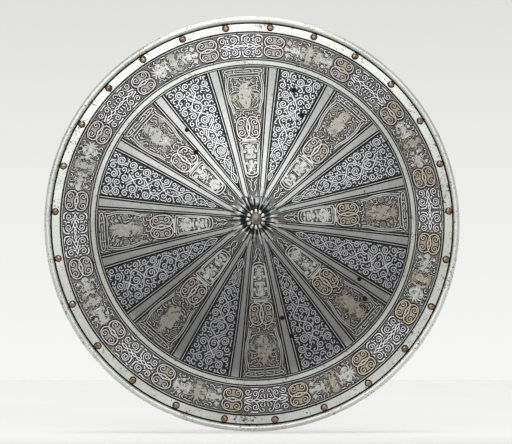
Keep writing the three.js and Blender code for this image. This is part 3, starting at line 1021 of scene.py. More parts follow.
# Widths of the dark outline round a stroke
OUTLINE = 1.1
KNOT_OUTLINE = 1.5
FIGURE_OUTLINE = 0.7

# How many places of a path are compared at once, and the leaves' most steps and turns
PATH_PART = 40
LEAF_STEPS = 9
LEAF_TURNS = np.exp(1j * np.radians([-44, -22, 0, 22, 44]))


class Field:
    """Free space of a panel: a grid of places, and how far a stroke at each may spread."""

    def __init__(self, left, right, low, high, step, gap, rng):
        self.gap = gap
        self.corner = left + 1j * low
        self.step = step
        u = np.arange(left, right, step)
        v = np.arange(low, high, step)
        self.shape = (len(v), len(u))
        self.grid = (u[None, :] + 1j * v[:, None]).ravel()
        self.room = np.full(len(self.grid), np.inf)
        self.rng = rng
        self.lines = []
        self.curls = []

    def limit(self, room):
        self.room = np.minimum(self.room, room)

    def avoid(self, path, half):
        """Keeps a gap round a stroke of a half width, given at each place or throughout."""
        path = np.asarray(path, complex)
        half = np.broadcast_to(half, len(path))
        self.lines.append(path)
        for start in range(0, len(path), PATH_PART):
            part = slice(start, start + PATH_PART)
            away = np.abs(self.grid[:, None] - path[None, part]) - half[None, part]
            self.limit(away.min(axis=1) - self.gap)

    def room_at(self, place):
        cell = (place - self.corner) / self.step
        column = round(cell.real)
        row = round(cell.imag)
        inside = 0 <= row < self.shape[0] and 0 <= column < self.shape[1]
        return self.room[row * self.shape[1] + column] if inside else -1.0

    def take(self, low, high, smallest):
        """The next curl: its middle, radius, direction to its parent and hand."""
        if self.room.max() < smallest:
            return None
        radius = min(float(self.room.max()), self.rng.uniform(low, high))
        snug = np.where(self.room >= radius, self.room, np.inf)
        middle = self.grid[int(np.argmin(snug))]
        towards, hand = self.parent(middle)
        self.curls.append((middle, radius, hand))
        self.limit(np.abs(self.grid - middle) - radius - self.gap)
        return middle, radius, towards, hand

    def parent(self, middle):
        """Direction from a curl's middle to the nearest stroke or curl, and the hand it winds by."""
        best = None
        for path in self.lines:
            i = int(np.argmin(np.abs(path - middle)))
            away = abs(path[i] - middle)
            if best is None or away < best[0]:
                ahead = path[min(i + 1, len(path) - 1)] - path[max(i - 1, 0)]
                side = (ahead * np.conj(middle - path[i])).imag
                best = (away, path[i], 1 if side > 0 else -1)
        for other, radius, hand in self.curls:
            away = abs(other - middle) - radius
            if best is None or away < best[0]:
                best = (away, other, -hand)
        towards = best[1] - middle
        return math.atan2(towards.imag, towards.real), best[2]

    def walk(self, start, heading, least):
        """Places along the middle of a gap, until it gets too narrow."""
        path = [start]
        while len(path) < LEAF_STEPS:
            ways = heading * LEAF_TURNS
            rooms = [self.room_at(path[-1] + way) for way in ways]
            best = int(np.argmax(rooms))
            if rooms[best] < least:
                break
            heading = ways[best]
            path.append(path[-1] + heading)
        return path


FINE_RADII = (50, 160)
FINE_SHARES = (0.56, 1.0)


def plain(_):
    return 1.0


def finer_inwards(place):
    return float(np.interp(place.imag, FINE_RADII, FINE_SHARES))


def grow_curls(field, radii, pens, width=LINE_WIDTH, fineness=plain):
    while True:
        found = field.take(*radii)
        if found is None:
            return
        middle, radius, towards, hand = found
        for pen in pens:
            fine = width * fineness(middle)
            draw_curl(pen, middle, radius - fine / 2, towards, hand, fine)


def grow_leaves(field, halves, pens, fineness=plain):
    """Leaves along whatever gaps the curls have left, as wide as each gap allows."""
    least, most = halves
    while field.room.max() > least:
        start = field.grid[int(np.argmax(field.room))]
        ways = np.exp(1j * even_turns(12))
        heading = ways[int(np.argmax([field.room_at(start + 1.4 * way) for way in ways]))]
        path = field.walk(start, -heading, least)[::-1] + field.walk(start, heading, least)[1:]
        half = np.array([min(field.room_at(place), most * fineness(place)) for place in path])
        for pen in pens:
            if len(path) > 2:
                pen.line(path, 2 * half)
            else:
                pen.dot(path[0], half[0])
        field.avoid(path, half)


def draw_curl(pen, middle, radius, towards, hand, width):
    share = width / LINE_WIDTH
    path = spiral(middle, radius, towards, hand, 1.3 * share, SPIRAL_PITCH * share, SPIRAL_EYE * share)
    pen.line(path, width)
    pen.dot(path[-1], 0.7 * width)


# Crossing stems of a scroll panel: radius of each crossing, and how far the stems part below it
BRAIDS = [
    [(57, 0), (70, 2.6), (86, 4.2), (107, 7.4), (132, 4.8), (154, 11.6), (176, 6.2)],
    [(56, 0), (73, 3.4), (94, 3.6), (118, 9.6), (141, 5.2), (166, 12.4), (187, 7.0)],
    [(58, 0), (77, 3.8), (99, 7.2), (121, 5.0), (146, 12.2), (170, 6.6), (190, 14.0)],
]
BRAID_TOP_RISE = 12.0
BRAID_STEPS = 12
MARGIN = 0.7
SCROLL_START = 44


def braid_path(braid):
    """One of the two crossing stems, with a tip that leans outwards."""
    path = []
    for k in range(len(braid) - 1):
        low, _ = braid[k]
        high, lobe = braid[k + 1]
        side = 1 if k % 2 == 0 else -1
        for t in np.linspace(0, 1, BRAID_STEPS, endpoint=False):
            path.append(side * lobe * math.sin(math.pi * t) ** 0.9 + 1j * mix(low, high, t))
    side = 1 if (len(braid) - 1) % 2 == 0 else -1
    top = braid[-1][0]
    for reach, rise in ((0, 0), (3.4, 0.3), (7.2, 0.72)):
        path.append(side * reach + 1j * (top + BRAID_TOP_RISE * rise))
    return curve([path[0], *path[2::3], *path[-3:]], 6)


def flipped(pen):
    """A pen for the mirror image across the middle line of a panel."""
    return pen.at(0, turn_deg=180, mirror=True)


def both(pen):
    return pen, flipped(pen)


def scroll_panel(k):
    relief = Relief()
    pen = Pen(relief, TROPHY_TURN + (k + 0.5) * SECTOR)
    across = scroll_half_width(PANEL_END)
    field = Field(-across, across, SCROLL_START, PANEL_END, PANEL_GRID, CURL_GAP,
                  random.Random(SCROLL_SEED + k))
    r = field.grid.imag
    field.limit(scroll_half_width(r) - MARGIN - np.abs(field.grid.real))
    field.limit(np.minimum(PANEL_END - MARGIN - r, r - SCROLL_START))
    stem = braid_path(BRAIDS[k % len(BRAIDS)])
    for path in (stem, -np.conj(stem)):
        pen.line(path, STEM_WIDTH * np.array([finer_inwards(place) for place in path]))
        field.avoid(resample(path, 1.5), STEM_WIDTH / 2)
    grow_curls(field, PANEL_CURLS, [pen], fineness=finer_inwards)
    grow_leaves(field, PANEL_LEAVES, [pen], finer_inwards)
    relief.piece(f"scroll_panel_{k + 1}")


def knot(pen, across, along):
    """Two flattened loops laid one over the other, with curls inside them."""
    for way in (1, -1):
        loop = ellipse(way * along * 0.2j, across / 2 - 1.6, along * 0.3 - 1.6, power=2.4)
        pen.at(0, slot=GOLD_FIELD).fill(loop, FIELD_HEIGHT)
        pen.line(loop, 1.4, closed=True)
        for side in (1, -1):
            middle = side * across * 0.21 + way * along * 0.27j
            curl = spiral(middle, along * 0.135, -way * math.pi / 2, side * way, pitch=3.4, eye=1.0)
            pen.line(curl, 1.2)
    pen.line(ellipse(0, across * 0.13, along * 0.085), 1.1, closed=True)


def border_pen(relief, angle, slot=BRIGHT):
    """A pen whose zero is the middle of the border at an angle."""
    return Pen(relief, angle, spread=BORDER_MIDDLE, slot=slot, edge=OUTLINE, shift=1j * BORDER_MIDDLE)


BORDER_HALF = BORDER_WIDTH / 2 - 2.4
KNOT_ACROSS = 30.0
KNOT_TURN = TROPHY_HALF + (EDGE_LINE_OUTER_WIDTH + STRIP_OUTER_WIDTH / 2) / BORDER_MIDDLE
SCROLL_HALF = KNOT_TURN * BORDER_MIDDLE - KNOT_ACROSS / 2 - 0.8
TROPHY_SEGMENT_HALF = (SECTOR / 2 - KNOT_TURN) * BORDER_MIDDLE - KNOT_ACROSS / 2 - 0.8


def border_knots():
    relief = Relief()
    for k in range(SECTOR_COUNT):
        for side in (1, -1):
            pen = border_pen(relief, TROPHY_TURN + k * SECTOR + side * KNOT_TURN, GOLD)
            knot(pen.at(0, edge=KNOT_OUTLINE), KNOT_ACROSS, 2 * BORDER_HALF)
    relief.piece("border_knots")


def border_scrolls():
    """Scrolls mirrored both ways, outside each trophy panel."""
    relief = Relief()
    for k in range(SECTOR_COUNT):
        pen = border_pen(relief, TROPHY_TURN + k * SECTOR)
        quarters = [pen, flipped(pen), pen.at(0, turn_deg=180), pen.at(0, mirror=True)]
        field = Field(0.6, SCROLL_HALF, 0.6, BORDER_HALF, BORDER_GRID, BORDER_GAP,
                      random.Random(BORDER_SCROLL_SEED + k % 3))
        u = field.grid.real
        v = field.grid.imag
        field.limit(np.minimum(SCROLL_HALF - u, BORDER_HALF - v))
        field.limit(np.minimum(u, v) - OUTLINE)
        stem = curve([0, 5 + 1.5j, 13 - 2.2j, 21 + 1.8j, SCROLL_HALF - 3], 8)
        for side in quarters:
            side.line(stem, BORDER_STEM_WIDTH)
        for path in (stem, np.conj(stem)):
            field.avoid(resample(path, 1.5), 0.8)
        grow_curls(field, BORDER_CURLS, quarters)
        grow_leaves(field, BORDER_LEAVES, quarters)
    relief.piece("border_scrolls")


# Trophies of arms. Each is drawn about zero, about one unit in half height.

def plumes(pen, count, spread_deg, reach, width):
    for i in range(count):
        lean = math.radians(spread_deg) * (i / (count - 1) - 0.5)
        way = 1j * np.exp(-1j * lean)
        tip = reach * (1 - 0.1 * abs(lean))
        bend = np.exp(-1j * lean * 0.22)
        vane = way * curve([0.2 * reach, 0.6 * tip, 0.9 * tip * bend, tip * bend ** 2.4], 6)
        for side in (1, -1):
            pen.line(vane + side * 0.32 * width / abs(pen.grow) * way * 1j, width * 0.55, leaf=True)


def helmet(pen):
    pen.fill([-0.42 - 0.1j, -0.4 + 0.25j, -0.2 + 0.52j, 0.08 + 0.56j, 0.34 + 0.36j, 0.42 - 0.05j])
    pen.arc([-0.62 - 0.22j, -0.2 - 0.16j, 0.25 - 0.18j, 0.66 - 0.34j], 6, 1.1, leaf=True)
    pen.arc([-0.36 + 0.5j, 0.0 + 0.74j, 0.38 + 0.52j], 6, 0.8)
    pen.fill([-0.3 - 0.3j, 0.28 - 0.32j, 0.22 - 0.58j, -0.2 - 0.56j])


def cuirass(pen):
    for side in (1, -1):
        pen.fill([side * 0.04 - 0.15j, side * 0.42 - 0.12j, side * 0.5 + 0.35j, side * 0.3 + 0.5j,
                  side * 0.04 + 0.38j])
        pen.arc([side * 0.46 + 0.5j, side * 0.74 + 0.34j, side * 0.7 - 0.02j], 6, 1.3, leaf=True)
        pen.arc([side * 0.56 + 0.1j, side * 0.62 - 0.15j, side * 0.5 - 0.3j], 5, 0.9, leaf=True)
    for row in range(3):
        wide = 0.4 + 0.09 * row
        level = -0.26 - 0.17 * row
        pen.arc([-wide + 1j * level, 1j * (level - 0.06), wide + 1j * level], 6, 1.2)
    pen.arc([-0.22 + 0.56j, 0.0 + 0.5j, 0.22 + 0.56j], 5, 0.9)


def round_target(pen, radius):
    pen.line(ellipse(0, radius, radius), 1.0, closed=True)
    pen.line(ellipse(0, radius * 0.62, radius * 0.62), 0.7, closed=True)
    pen.dot(0, radius * abs(pen.grow) * 0.3)


def drum(pen):
    for level in (-0.32, 0.32):
        pen.arc([-0.4 + 1j * level, 1j * (level + 0.08), 0.4 + 1j * level], 5, 1.0)
    for side in (-0.4, 0.4):
        pen.line([side - 0.3j, side + 0.3j], 0.9)
    pen.line([-0.36 - 0.26j, -0.18 + 0.26j, 0.0 - 0.24j, 0.18 + 0.26j, 0.36 - 0.26j], 0.8)


def flag(pen, sway):
    pen.line([-0.9j, 0.95j], 0.8)
    for row in range(4):
        top = 0.9 - 0.17 * row
        reach = 0.72 - 0.06 * row
        cloth = [0.05 + 1j * top, 0.3 * reach + 1j * (top + sway), 0.65 * reach + 1j * (top - sway),
                 reach + 1j * (top + 0.4 * sway)]
        pen.arc(cloth, 5, 1.15)


def spear(pen, low, high):
    tip = 1j * high
    pen.line([1j * low, tip - 0.24j], 0.85)
    pen.fill([tip, tip + 0.09 - 0.16j, tip - 0.3j, tip - 0.09 - 0.16j])


def halberd(pen, low, high):
    spear(pen, low, high)
    pen.fill([1j * high + place for place in (0.07 - 0.3j, 0.27 - 0.22j, 0.24 - 0.52j, 0.07 - 0.46j)])


def streamer(pen):
    pen.arc([0, 0.2 - 0.22j, 0.5 - 0.1j, 0.7 - 0.36j, 0.96 - 0.2j], 7, 1.2, leaf=True)
    pen.line(spiral(0.42 - 0.42j, 0.17, 0.6, -1, pitch=0.11, eye=0.05), 0.9)


def trophy_of_plumes(pen):
    plumes(pen.at(0.05j), 9, 190, 1.12, 1.9)
    helmet(pen.at(-0.02j, 0.62))
    cuirass(pen.at(-0.62j, 0.66))
    for side in both(pen):
        round_target(side.at(0.72 - 0.18j, 1.0), 0.2)
        spear(side.at(0.45 - 0.4j, 1.0, -38), -0.62, 0.5)
        streamer(side.at(0.3 - 0.92j, 0.6))


def trophy_of_flags(pen):
    cuirass(pen.at(-0.12j, 0.86))
    helmet(pen.at(0.62j, 0.52))
    plumes(pen.at(0.8j), 5, 120, 0.42, 1.6)
    for side in both(pen):
        flag(side.at(0.42 + 0.3j, 0.72, -24), 0.07)
        halberd(side.at(0.4 - 0.62j, 0.8, -58), -0.5, 0.6)
        streamer(side.at(0.12 - 0.86j, 0.72))


def trophy_of_targets(pen):
    for side in both(pen):
        halberd(side.at(0, 1.0, -34), 0.34, 1.2)
        spear(side.at(0, 1.0, -62), 0.34, 1.02)
        spear(side.at(0, 1.0, -128), 0.34, 1.05)
        drum(side.at(0.5 - 0.82j, 0.5, 20))
        round_target(side.at(0.78 + 0.04j), 0.17)
    plumes(pen.at(0.3j), 7, 66, 0.8, 1.7)
    round_target(pen, 0.32)
    cuirass(pen.at(-0.66j, 0.5))


def trophy_of_drums(pen):
    helmet(pen.at(0.5j, 0.7))
    plumes(pen.at(0.72j), 7, 150, 0.5, 1.8)
    for side in both(pen):
        drum(side.at(0.42 - 0.12j, 0.72, -14))
        spear(side.at(0.3 - 0.1j, 1.0, -24), 0.3, 1.06)
        flag(side.at(0.62 + 0.42j, 0.5, -42), 0.08)
        streamer(side.at(0.16 - 0.56j, 0.78))
        round_target(side.at(0.3 - 0.82j), 0.15)


TROPHIES = [trophy_of_plumes, trophy_of_flags, trophy_of_targets, trophy_of_drums]


# Frames of a trophy panel: radius, and share of the panel's half width
FRAME_SHARES = [
    [(206, 0.85), (199, 0.86), (193, 0.93), (184, 0.97), (170, 0.97), (163, 0.93), (158, 0.88), (148, 0.87)],
    [(202.5, 0.02), (202.5, 0.45), (202.5, 0.72), (198, 0.77), (191, 0.85), (183, 0.88), (171, 0.88),
     (163, 0.83), (158, 0.78), (149, 0.77)],
    [(108.6, 0.02), (108.6, 0.5), (108.4, 0.84), (101, 0.84), (93, 0.92), (72, 0.92), (62, 0.86), (59, 0.5),
     (58.5, 0.02)],
    [(105.8, 0.1), (105.6, 0.68), (99, 0.7), (92, 0.78), (73, 0.78), (65, 0.72), (62.5, 0.3), (62, 0.02)],
    [(206.4, 0.02), (206.8, 0.5), (208.6, 0.78), (211.6, 0.86), (213, 0.7), (213.2, 0.3), (212.6, 0.06)],
]


def share_path(shares):
    return curve([share * trophy_half_width(r) + 1j * r for r, share in shares], 8)


FRAME_WIDTH = 1.3
FILLER_WIDTH = 1.2
FILLER_GAP = 1.15
FILLER_MARGIN = 0.4
HOOK_WIDTH = 0.85
FILLER_START = 47
# The bright bar over the lower frame: radius of its ends' width, its own radius and its share
BAR_WIDTH_RADIUS = 107
BAR_RADIUS = 111
BAR_SHARE = 0.62
KNOT_RADIUS = 128.4
# Figures of a trophy panel: step through the list of trophies, place and size
PANEL_FIGURES = ((0, 176.5j, 22.5), (2, 94.5j, 9.6), (1, 73.5j, 7.6))
# Figures of a border field: place, size, turn in degrees and tone
BORDER_FIGURES = ((0, 14, 0, DULL), (-22.5, 11.5, 90, SILVER), (22.5, 11.5, -90, SILVER))
# How far a figure's bulk and its hooks reach across and along, as shares of its size
PANEL_BULK = (0.46, 1.0)
PANEL_HOOKED = (0.44, 0.85)
BORDER_BULK = (0.34, 0.9)
BORDER_HOOKED = (0.5, 0.85)
BORDER_HOOK_COUNT = 16


def mass(pen, across, along, rng):
    """The figure's bulk: a low field with a ragged edge, behind the strokes that detail it."""
    turns = np.arange(26) * TURN / 26
    ragged = np.array([rng.uniform(0.68, 1.14) for _ in turns])
    pen.fill(ragged * (across * np.cos(turns) + 1j * along * np.sin(turns)), FIGURE_HEIGHT)


def hooks(pen, across, along, count, rng):
    """Small hooks, blackened or bright, that model a figure."""
    tones = [pen.at(0, slot=slot, edge=0.0) for slot in (DARK, SILVER)]
    for i in range(count):
        turn = rng.uniform(0, TURN)
        reach = rng.uniform(0.2, 1.0) ** 0.6
        place = reach * (across * math.cos(turn) + 1j * along * math.sin(turn))
        size = rng.uniform(1.3, 2.6) / abs(pen.grow)
        start = rng.uniform(0, TURN)
        hand = rng.choice((1, -1))
        tones[i % 2].line(spiral(place, size, start, hand, pitch=2.2 * size, eye=0.3 * size), HOOK_WIDTH)


def figure(pen, number, tone, bulk, hooked, hook_count, rng):
    """One trophy of arms: its bulk, its strokes, then small hooks over them."""
    mass(pen.at(0, slot=DULL), *bulk, rng)
    TROPHIES[number % len(TROPHIES)](pen.at(0, slot=tone, edge=FIGURE_OUTLINE))
    hooks(pen, *hooked, hook_count, rng)


def fill_round(relief, pen, low, high, half_width, rng):
    """Small curls and leaves in whatever room the strokes drawn so far leave between two radii."""
    across = float(half_width(high))
    field = Field(-across, across, low, high, FILLER_GRID, FILLER_GAP, rng)
    r = field.grid.imag
    field.limit(half_width(r) - OUTLINE - FILLER_MARGIN - np.abs(field.grid.real))
    field.limit(np.minimum(r - low, high - r) - FILLER_MARGIN)
    for path, half in list(relief.drawn):
        field.avoid(path, half)
    grow_curls(field, FILLER_CURLS, [pen], FILLER_WIDTH)
    grow_leaves(field, FILLER_LEAVES, [pen])


def trophy_panel(k):
    rng = random.Random(TROPHY_SEED + k)
    relief = Relief()
    pen = Pen(relief, TROPHY_TURN + k * SECTOR, slot=SILVER, edge=OUTLINE)
    for side in both(pen):
        for shares in FRAME_SHARES:
            side.line(share_path(shares), FRAME_WIDTH)
        side.line(spiral(12 + 210j, 2.4, -math.pi / 2, 1, pitch=2.4, eye=0.8), 1.1)
        side.arc([0.9 + 39j, 3.4 + 44j, 2.2 + 50j, 5.6 + 55j], 6, 1.2)
        side.dot(2.0 + 42j, 0.8)
    bar = BAR_SHARE * trophy_half_width(BAR_WIDTH_RADIUS)
    pen.at(0, slot=BRIGHT).line([-bar + 1j * BAR_RADIUS, bar + 1j * BAR_RADIUS], 1.9)
    turned = pen.at(1j * KNOT_RADIUS, 1.0, 90, slot=GOLD, edge=KNOT_OUTLINE)
    knot(turned, 33.5, 2 * trophy_half_width(KNOT_RADIUS) * 0.94)
    for further, place, size in PANEL_FIGURES:
        tone = SILVER if further else DULL
        count = int(1.1 * size) + 6
        figure(pen.at(place, size), k + further, tone, PANEL_BULK, PANEL_HOOKED, count, rng)
    fill_round(relief, pen, FILLER_START, PANEL_END - 0.6, trophy_half_width, rng)
    relief.piece(f"trophy_panel_{k + 1}")


def border_trophies():
    """Arms laid sideways along the border, outside each scroll panel."""
    relief = Relief()
    low = BORDER_MIDDLE - BORDER_HALF
    for k in range(SECTOR_COUNT):
        rng = random.Random(BORDER_TROPHY_SEED + k)
        pen = border_pen(relief, TROPHY_TURN + (k + 0.5) * SECTOR, SILVER)
        for further, (place, size, turn, tone) in enumerate(BORDER_FIGURES):
            figure(pen.at(place, size, turn), k + further, tone, BORDER_BULK, BORDER_HOOKED,
                   BORDER_HOOK_COUNT, rng)
        area = Pen(relief, pen.axis, spread=BORDER_MIDDLE, slot=SILVER, edge=OUTLINE)
        fill_round(relief, area, low, low + 2 * BORDER_HALF, lambda r: TROPHY_SEGMENT_HALF + 0 * r, rng)
        relief.drawn.clear()
    relief.piece("border_trophies")


# Fittings

CAP_BRASS = cast_finish("cap_brass", (0.075, 0.052, 0.038), (0.42, 0.31, 0.22), 1.0, 0.2, 0.36, 260)
WORN_COPPER = cast_finish("worn_copper", (0.1, 0.085, 0.078), (0.29, 0.25, 0.235), 1.0, 0.34, 0.55, 180)
PETAL_METAL = cast_finish("petal_metal", (0.38, 0.36, 0.33), (0.86, 0.84, 0.8), 1.0, 0.3, 0.5, 200)
IRON = cast_finish("rusty_iron", (0.03, 0.024, 0.02), (0.13, 0.09, 0.07), 0.6, 0.5, 0.8, 160)
# Near black, for grime and painted shade: round the rivet caps, in the rosette's gaps and in the strap holes
DIRT_AND_SHADE = cast_finish("dirt_and_painted_shade", (0.006, 0.005, 0.005), (0.03, 0.024, 0.02), 0.0, 0.8, 0.95, 300, 0.1)
LEATHER = old_leather("old_leather")
FITTING_MATERIALS = [CAP_BRASS, DIRT_AND_SHADE, IRON, WORN_COPPER]
IS_BRASS, IS_DIRT_AND_SHADE, IS_IRON, IS_COPPER = range(4)
DOME_ROWS = 11
RIVET_SIDES = 28
WASHER_SIDES = 48
BOSS_RIVET_SIDES = 60
BOSS_WASHER_SIDES = 64


def seated(points, r, y, angle):
    """Moves points made about the Y axis to a radius and angle, square to the flange there."""
    tilt = math.atan(FLANGE_SLOPE)
    out = points[:, 2] * math.cos(tilt) - points[:, 1] * math.sin(tilt) + r
    depth = points[:, 1] * math.cos(tilt) + points[:, 2] * math.sin(tilt) + y
    x, z = turn_about_y(points[:, 0], out, angle)
    return np.stack([x, depth, z], axis=-1)


def rivet_angle(k):
    even = k * 360 / RIVET_COUNT
    t = math.radians(even + RIVET_DRIFT_PHASE_DEG)
    drift = RIVET_DRIFT_COS_DEG * math.cos(t) + RIVET_DRIFT_SIN_DEG * math.sin(t)
    return math.radians(90 - even - RIVET_TURN_DEG - drift)


# Where down the dome of a cap its dark band of grime and painted shade starts, as an angle
GRIME_AND_SHADE_FROM = 1.15


def rivet_rows(head, height, shank, grip, clench, clench_height, seat):
    """Radius, depth and slot down a rivet: domed head dark low down, ring of dirt and painted shade, shank
    and clenched end.
    """
    dome = [(head * math.sin(t), -height * math.cos(t), IS_BRASS if t < GRIME_AND_SHADE_FROM else IS_DIRT_AND_SHADE)
            for t in np.linspace(0.03, math.pi / 2, DOME_ROWS)]
    skirt = [(head, seat * 0.3, IS_DIRT_AND_SHADE), (head + 0.75, seat * 0.45, IS_DIRT_AND_SHADE), (head + 0.85, seat, IS_DIRT_AND_SHADE)]
    shaft = [(shank, seat, IS_IRON), (shank, grip, IS_IRON), (clench, grip, IS_IRON)]
    tail = [(clench * math.cos(t), grip + clench_height * math.sin(t), IS_IRON) for t in (0.5, 1.0, 1.5)]
    return dome + skirt + shaft + tail


def lining_rivets():
    rng = random.Random(RIVET_SEED)
    grip = PLATE_THICKNESS + LINING_THICKNESS + WASHER_THICKNESS + 4 * CLEARANCE
    rows = rivet_rows(RIVET_HEAD_RADIUS, RIVET_HEAD_HEIGHT, RIVET_SHANK_RADIUS, grip, RIVET_CLENCH_RADIUS,
                      RIVET_CLENCH_HEIGHT, CLEARANCE)
    turns = even_turns(RIVET_SIDES)
    for k in range(RIVET_COUNT):
        angle = rivet_angle(k)
        lean = rng.uniform(0, TURN)
        dent = rng.uniform(0.01, 0.05)
        size = rng.uniform(0.96, 1.02)
        uneven = size * (1 + dent * np.cos(2 * (turns - lean)))
        points, faces = skin([ring(r * uneven, y, turns) for r, y, _ in rows], False)
        slots = [slot for _, _, slot in rows[1:] for _ in turns] + [IS_BRASS, IS_IRON]
        dent_y = float(hammered(RIVET_RADIUS * math.sin(angle), RIVET_RADIUS * math.cos(angle)))
        y = float(front_y(RIVET_RADIUS)) - CLEARANCE - dent_y
        rivet = mesh_object(f"rivet_cap_{k + 1:02d}", seated(points, RIVET_RADIUS, y, angle), faces, slots,
                            FITTING_MATERIALS, crease_deg=50)
        belongs(rivet, "rivet_brass", f"lining_rivet_{k + 1:02d}")


def lining_washers():
    """Squares cut from sheet with shears, each turned as it was put in."""
    rng = random.Random(WASHER_SEED)
    near = PLATE_THICKNESS + LINING_THICKNESS + 2 * CLEARANCE
    far = near + WASHER_THICKNESS
    half = WASHER_SIDE / 2
    bore = RIVET_SHANK_RADIUS + CLEARANCE
    turns = even_turns(WASHER_SIDES)
    for k in range(RIVET_COUNT):
        twist = turns + rng.uniform(-0.12, 0.12)
        power = rng.uniform(9, 16)
        square = (np.abs(np.sin(twist)) ** power + np.abs(np.cos(twist)) ** power) ** (-1 / power)
        rows = [(bore, near), (half * square, near), (half * square, far - 0.3),
                ((half - 0.3) * square, far), (bore + 0.2, far), (bore, far - 0.2)]
        points, faces = skin([ring(r, y, turns) for r, y in rows], True)
        points = seated(points, RIVET_RADIUS, float(front_y(RIVET_RADIUS)), rivet_angle(k))
        washer = mesh_object(f"washer_{k + 1:02d}", points, faces, None, [IRON], crease_deg=35)
        belongs(washer, "dark_iron", f"lining_washer_{k + 1:02d}")


# Section of the leather band: place along it, rise over the plate's back, and whether it is stitched
BAND_SECTION = [
    (0.5, 0, False), (LINING_WIDTH - 0.5, 0, False), (LINING_WIDTH, 0.6, False), (LINING_WIDTH, 1.9, False),
    (LINING_WIDTH - 0.7, 2.5, False), (14, 2.5, False), (6, 2.5, False), (3.6, 2.5, False),
    (3.1, 2.15, True), (2.6, 2.5, False), (0.8, 2.5, False), (0, 1.9, False), (0, 0.6, False),
]
STITCH_DEPTH = 0.45
STITCH_COUNT = 208


def lining_band():
    """Leather band over the back of the flange, cockled between its rivets and stitched near its edge."""
    turns = even_turns(2 * STITCH_COUNT)
    inner = LINING_RADIUS - LINING_WIDTH
    back = float(front_y(LINING_RADIUS)) + PLATE_THICKNESS * math.hypot(1, FLANGE_SLOPE) + CLEARANCE
    cockle = 0.22 * np.sin(turns * RIVET_COUNT + 0.7)
    cockle = cockle + 0.16 * np.sin(turns * 41) + 0.1 * np.sin(turns * 97 + 2)
    stitch = STITCH_DEPTH * (np.sin(turns * STITCH_COUNT) > 0.2)
    rings = []
    for along, rise, stitched in BAND_SECTION:
        r = inner + along
        away = max(0.0, 1 - along / LINING_WIDTH)
        y = back - (LINING_RADIUS - r) * FLANGE_SLOPE + rise + cockle * away - (stitch if stitched else 0)
        rings.append(ring(r, y, turns))
    points, faces = skin(rings, True)
    band = mesh_object("leather_band", points, faces, None, [LEATHER], crease_deg=60)
    belongs(band, "lining_leather", "lining_band")


# Section of a petal: shares of the rosette's radius and height, and how deep the gap cuts in
PETAL_SECTION = [
    (0.14, 1, 0), (0.4, 0.95, 0.1), (0.48, 0.6, 0.6), (0.54, 0.62, 1), (0.6, 0.8, 1), (0.68, 0.92, 1),
    (0.76, 0.95, 1), (0.84, 0.88, 1), (0.91, 0.68, 1), (0.96, 0.38, 1), (0.99, 0.1, 1), (1, -0.2, 1),
]
PETAL_COLUMNS = 16


def boss_rosette():
    """Twelve long petals round the dome of the rivet, with a deep gap on either side of each, dark with dirt
    and painted shade.
    """
    turns = even_turns(PETAL_COUNT * PETAL_COLUMNS)
    gap = np.abs(np.sin(turns * PETAL_COUNT / 2)) ** 6
    rings = []
    slots = []
    for share, height, depth in PETAL_SECTION:
        dip = depth * gap
        r = share * ROSETTE_RADIUS * (1 - 0.16 * dip * share)
        y = -(ROSETTE_EDGE + (ROSETTE_HEIGHT - ROSETTE_EDGE) * height * (1 - 0.85 * dip))
        rings.append(ring(r, y, turns))
        # The deepest part of each gap is painted dark: dirt and painted shade
        slots.append(np.where(dip + np.roll(dip, -1) > 1.25, 1, 0))
    rings.append(ring(0.8 * ROSETTE_RADIUS, 0, turns))
    rings.append(ring(SHANK_HOLE_RADIUS, 0, turns))
    slots += [np.zeros(len(turns)), np.zeros(len(turns))]
    points, faces = skin(rings, True)
    rosette = mesh_object("fluted_rosette", points + [0, SEAT_Y - CLEARANCE, 0], faces,
                          np.concatenate(slots), [PETAL_METAL, DIRT_AND_SHADE], crease_deg=70)
    belongs(rosette, "boss_copper", "boss_rosette")


def boss_rivet():
    """Worn dome of the boss rivet, rubbed out of round."""
    stack = ROSETTE_HEIGHT + PLATE_THICKNESS + BOSS_WASHER_THICKNESS + 4 * CLEARANCE
    rows = rivet_rows(BOSS_HEAD_RADIUS, BOSS_HEAD_HEIGHT, BOSS_SHANK_RADIUS, stack, BOSS_CLENCH_RADIUS,
                      BOSS_CLENCH_HEIGHT, 0.0)
    turns = even_turns(BOSS_RIVET_SIDES)
    uneven = 1 + 0.03 * np.cos(2 * turns + 1) + 0.025 * np.cos(3 * turns) + 0.015 * np.cos(5 * turns + 2)
    rows = rows[:DOME_ROWS] + rows[DOME_ROWS + 3:]
    rings = [ring(r * uneven, y * (1 + 0.06 * np.cos(turns * 3 + r)), turns) for r, y, _ in rows]
    points, faces = skin(rings, False)
    slots = [IS_COPPER if j < DOME_ROWS else IS_IRON for j in range(len(rings) - 1) for _ in turns]
    slots += [IS_COPPER, IS_IRON]
    rivet = mesh_object("boss_dome", points + [0, SEAT_Y - ROSETTE_HEIGHT - 2 * CLEARANCE, 0], faces, slots,
                        FITTING_MATERIALS, crease_deg=50)
    belongs(rivet, "boss_copper", "boss_rivet")


def boss_washer():
    near = SEAT_Y + PLATE_THICKNESS + CLEARANCE
    far = near + BOSS_WASHER_THICKNESS
    turns = even_turns(BOSS_WASHER_SIDES)
    rim = BOSS_WASHER_RADIUS * (1 + 0.012 * np.cos(3 * turns) + 0.008 * np.cos(7 * turns))
    rows = [(SHANK_HOLE_RADIUS, near), (rim - 0.1, near), (rim, near + 0.2), (rim, far - 0.35),
            (rim - 0.35, far), (SHANK_HOLE_RADIUS, far)]
    points, faces = skin([ring(r, y, turns) for r, y in rows], True)
    washer = mesh_object("boss_washer", points, faces, None, [IRON], crease_deg=50)
    belongs(washer, "dark_iron", "boss_back_washer")


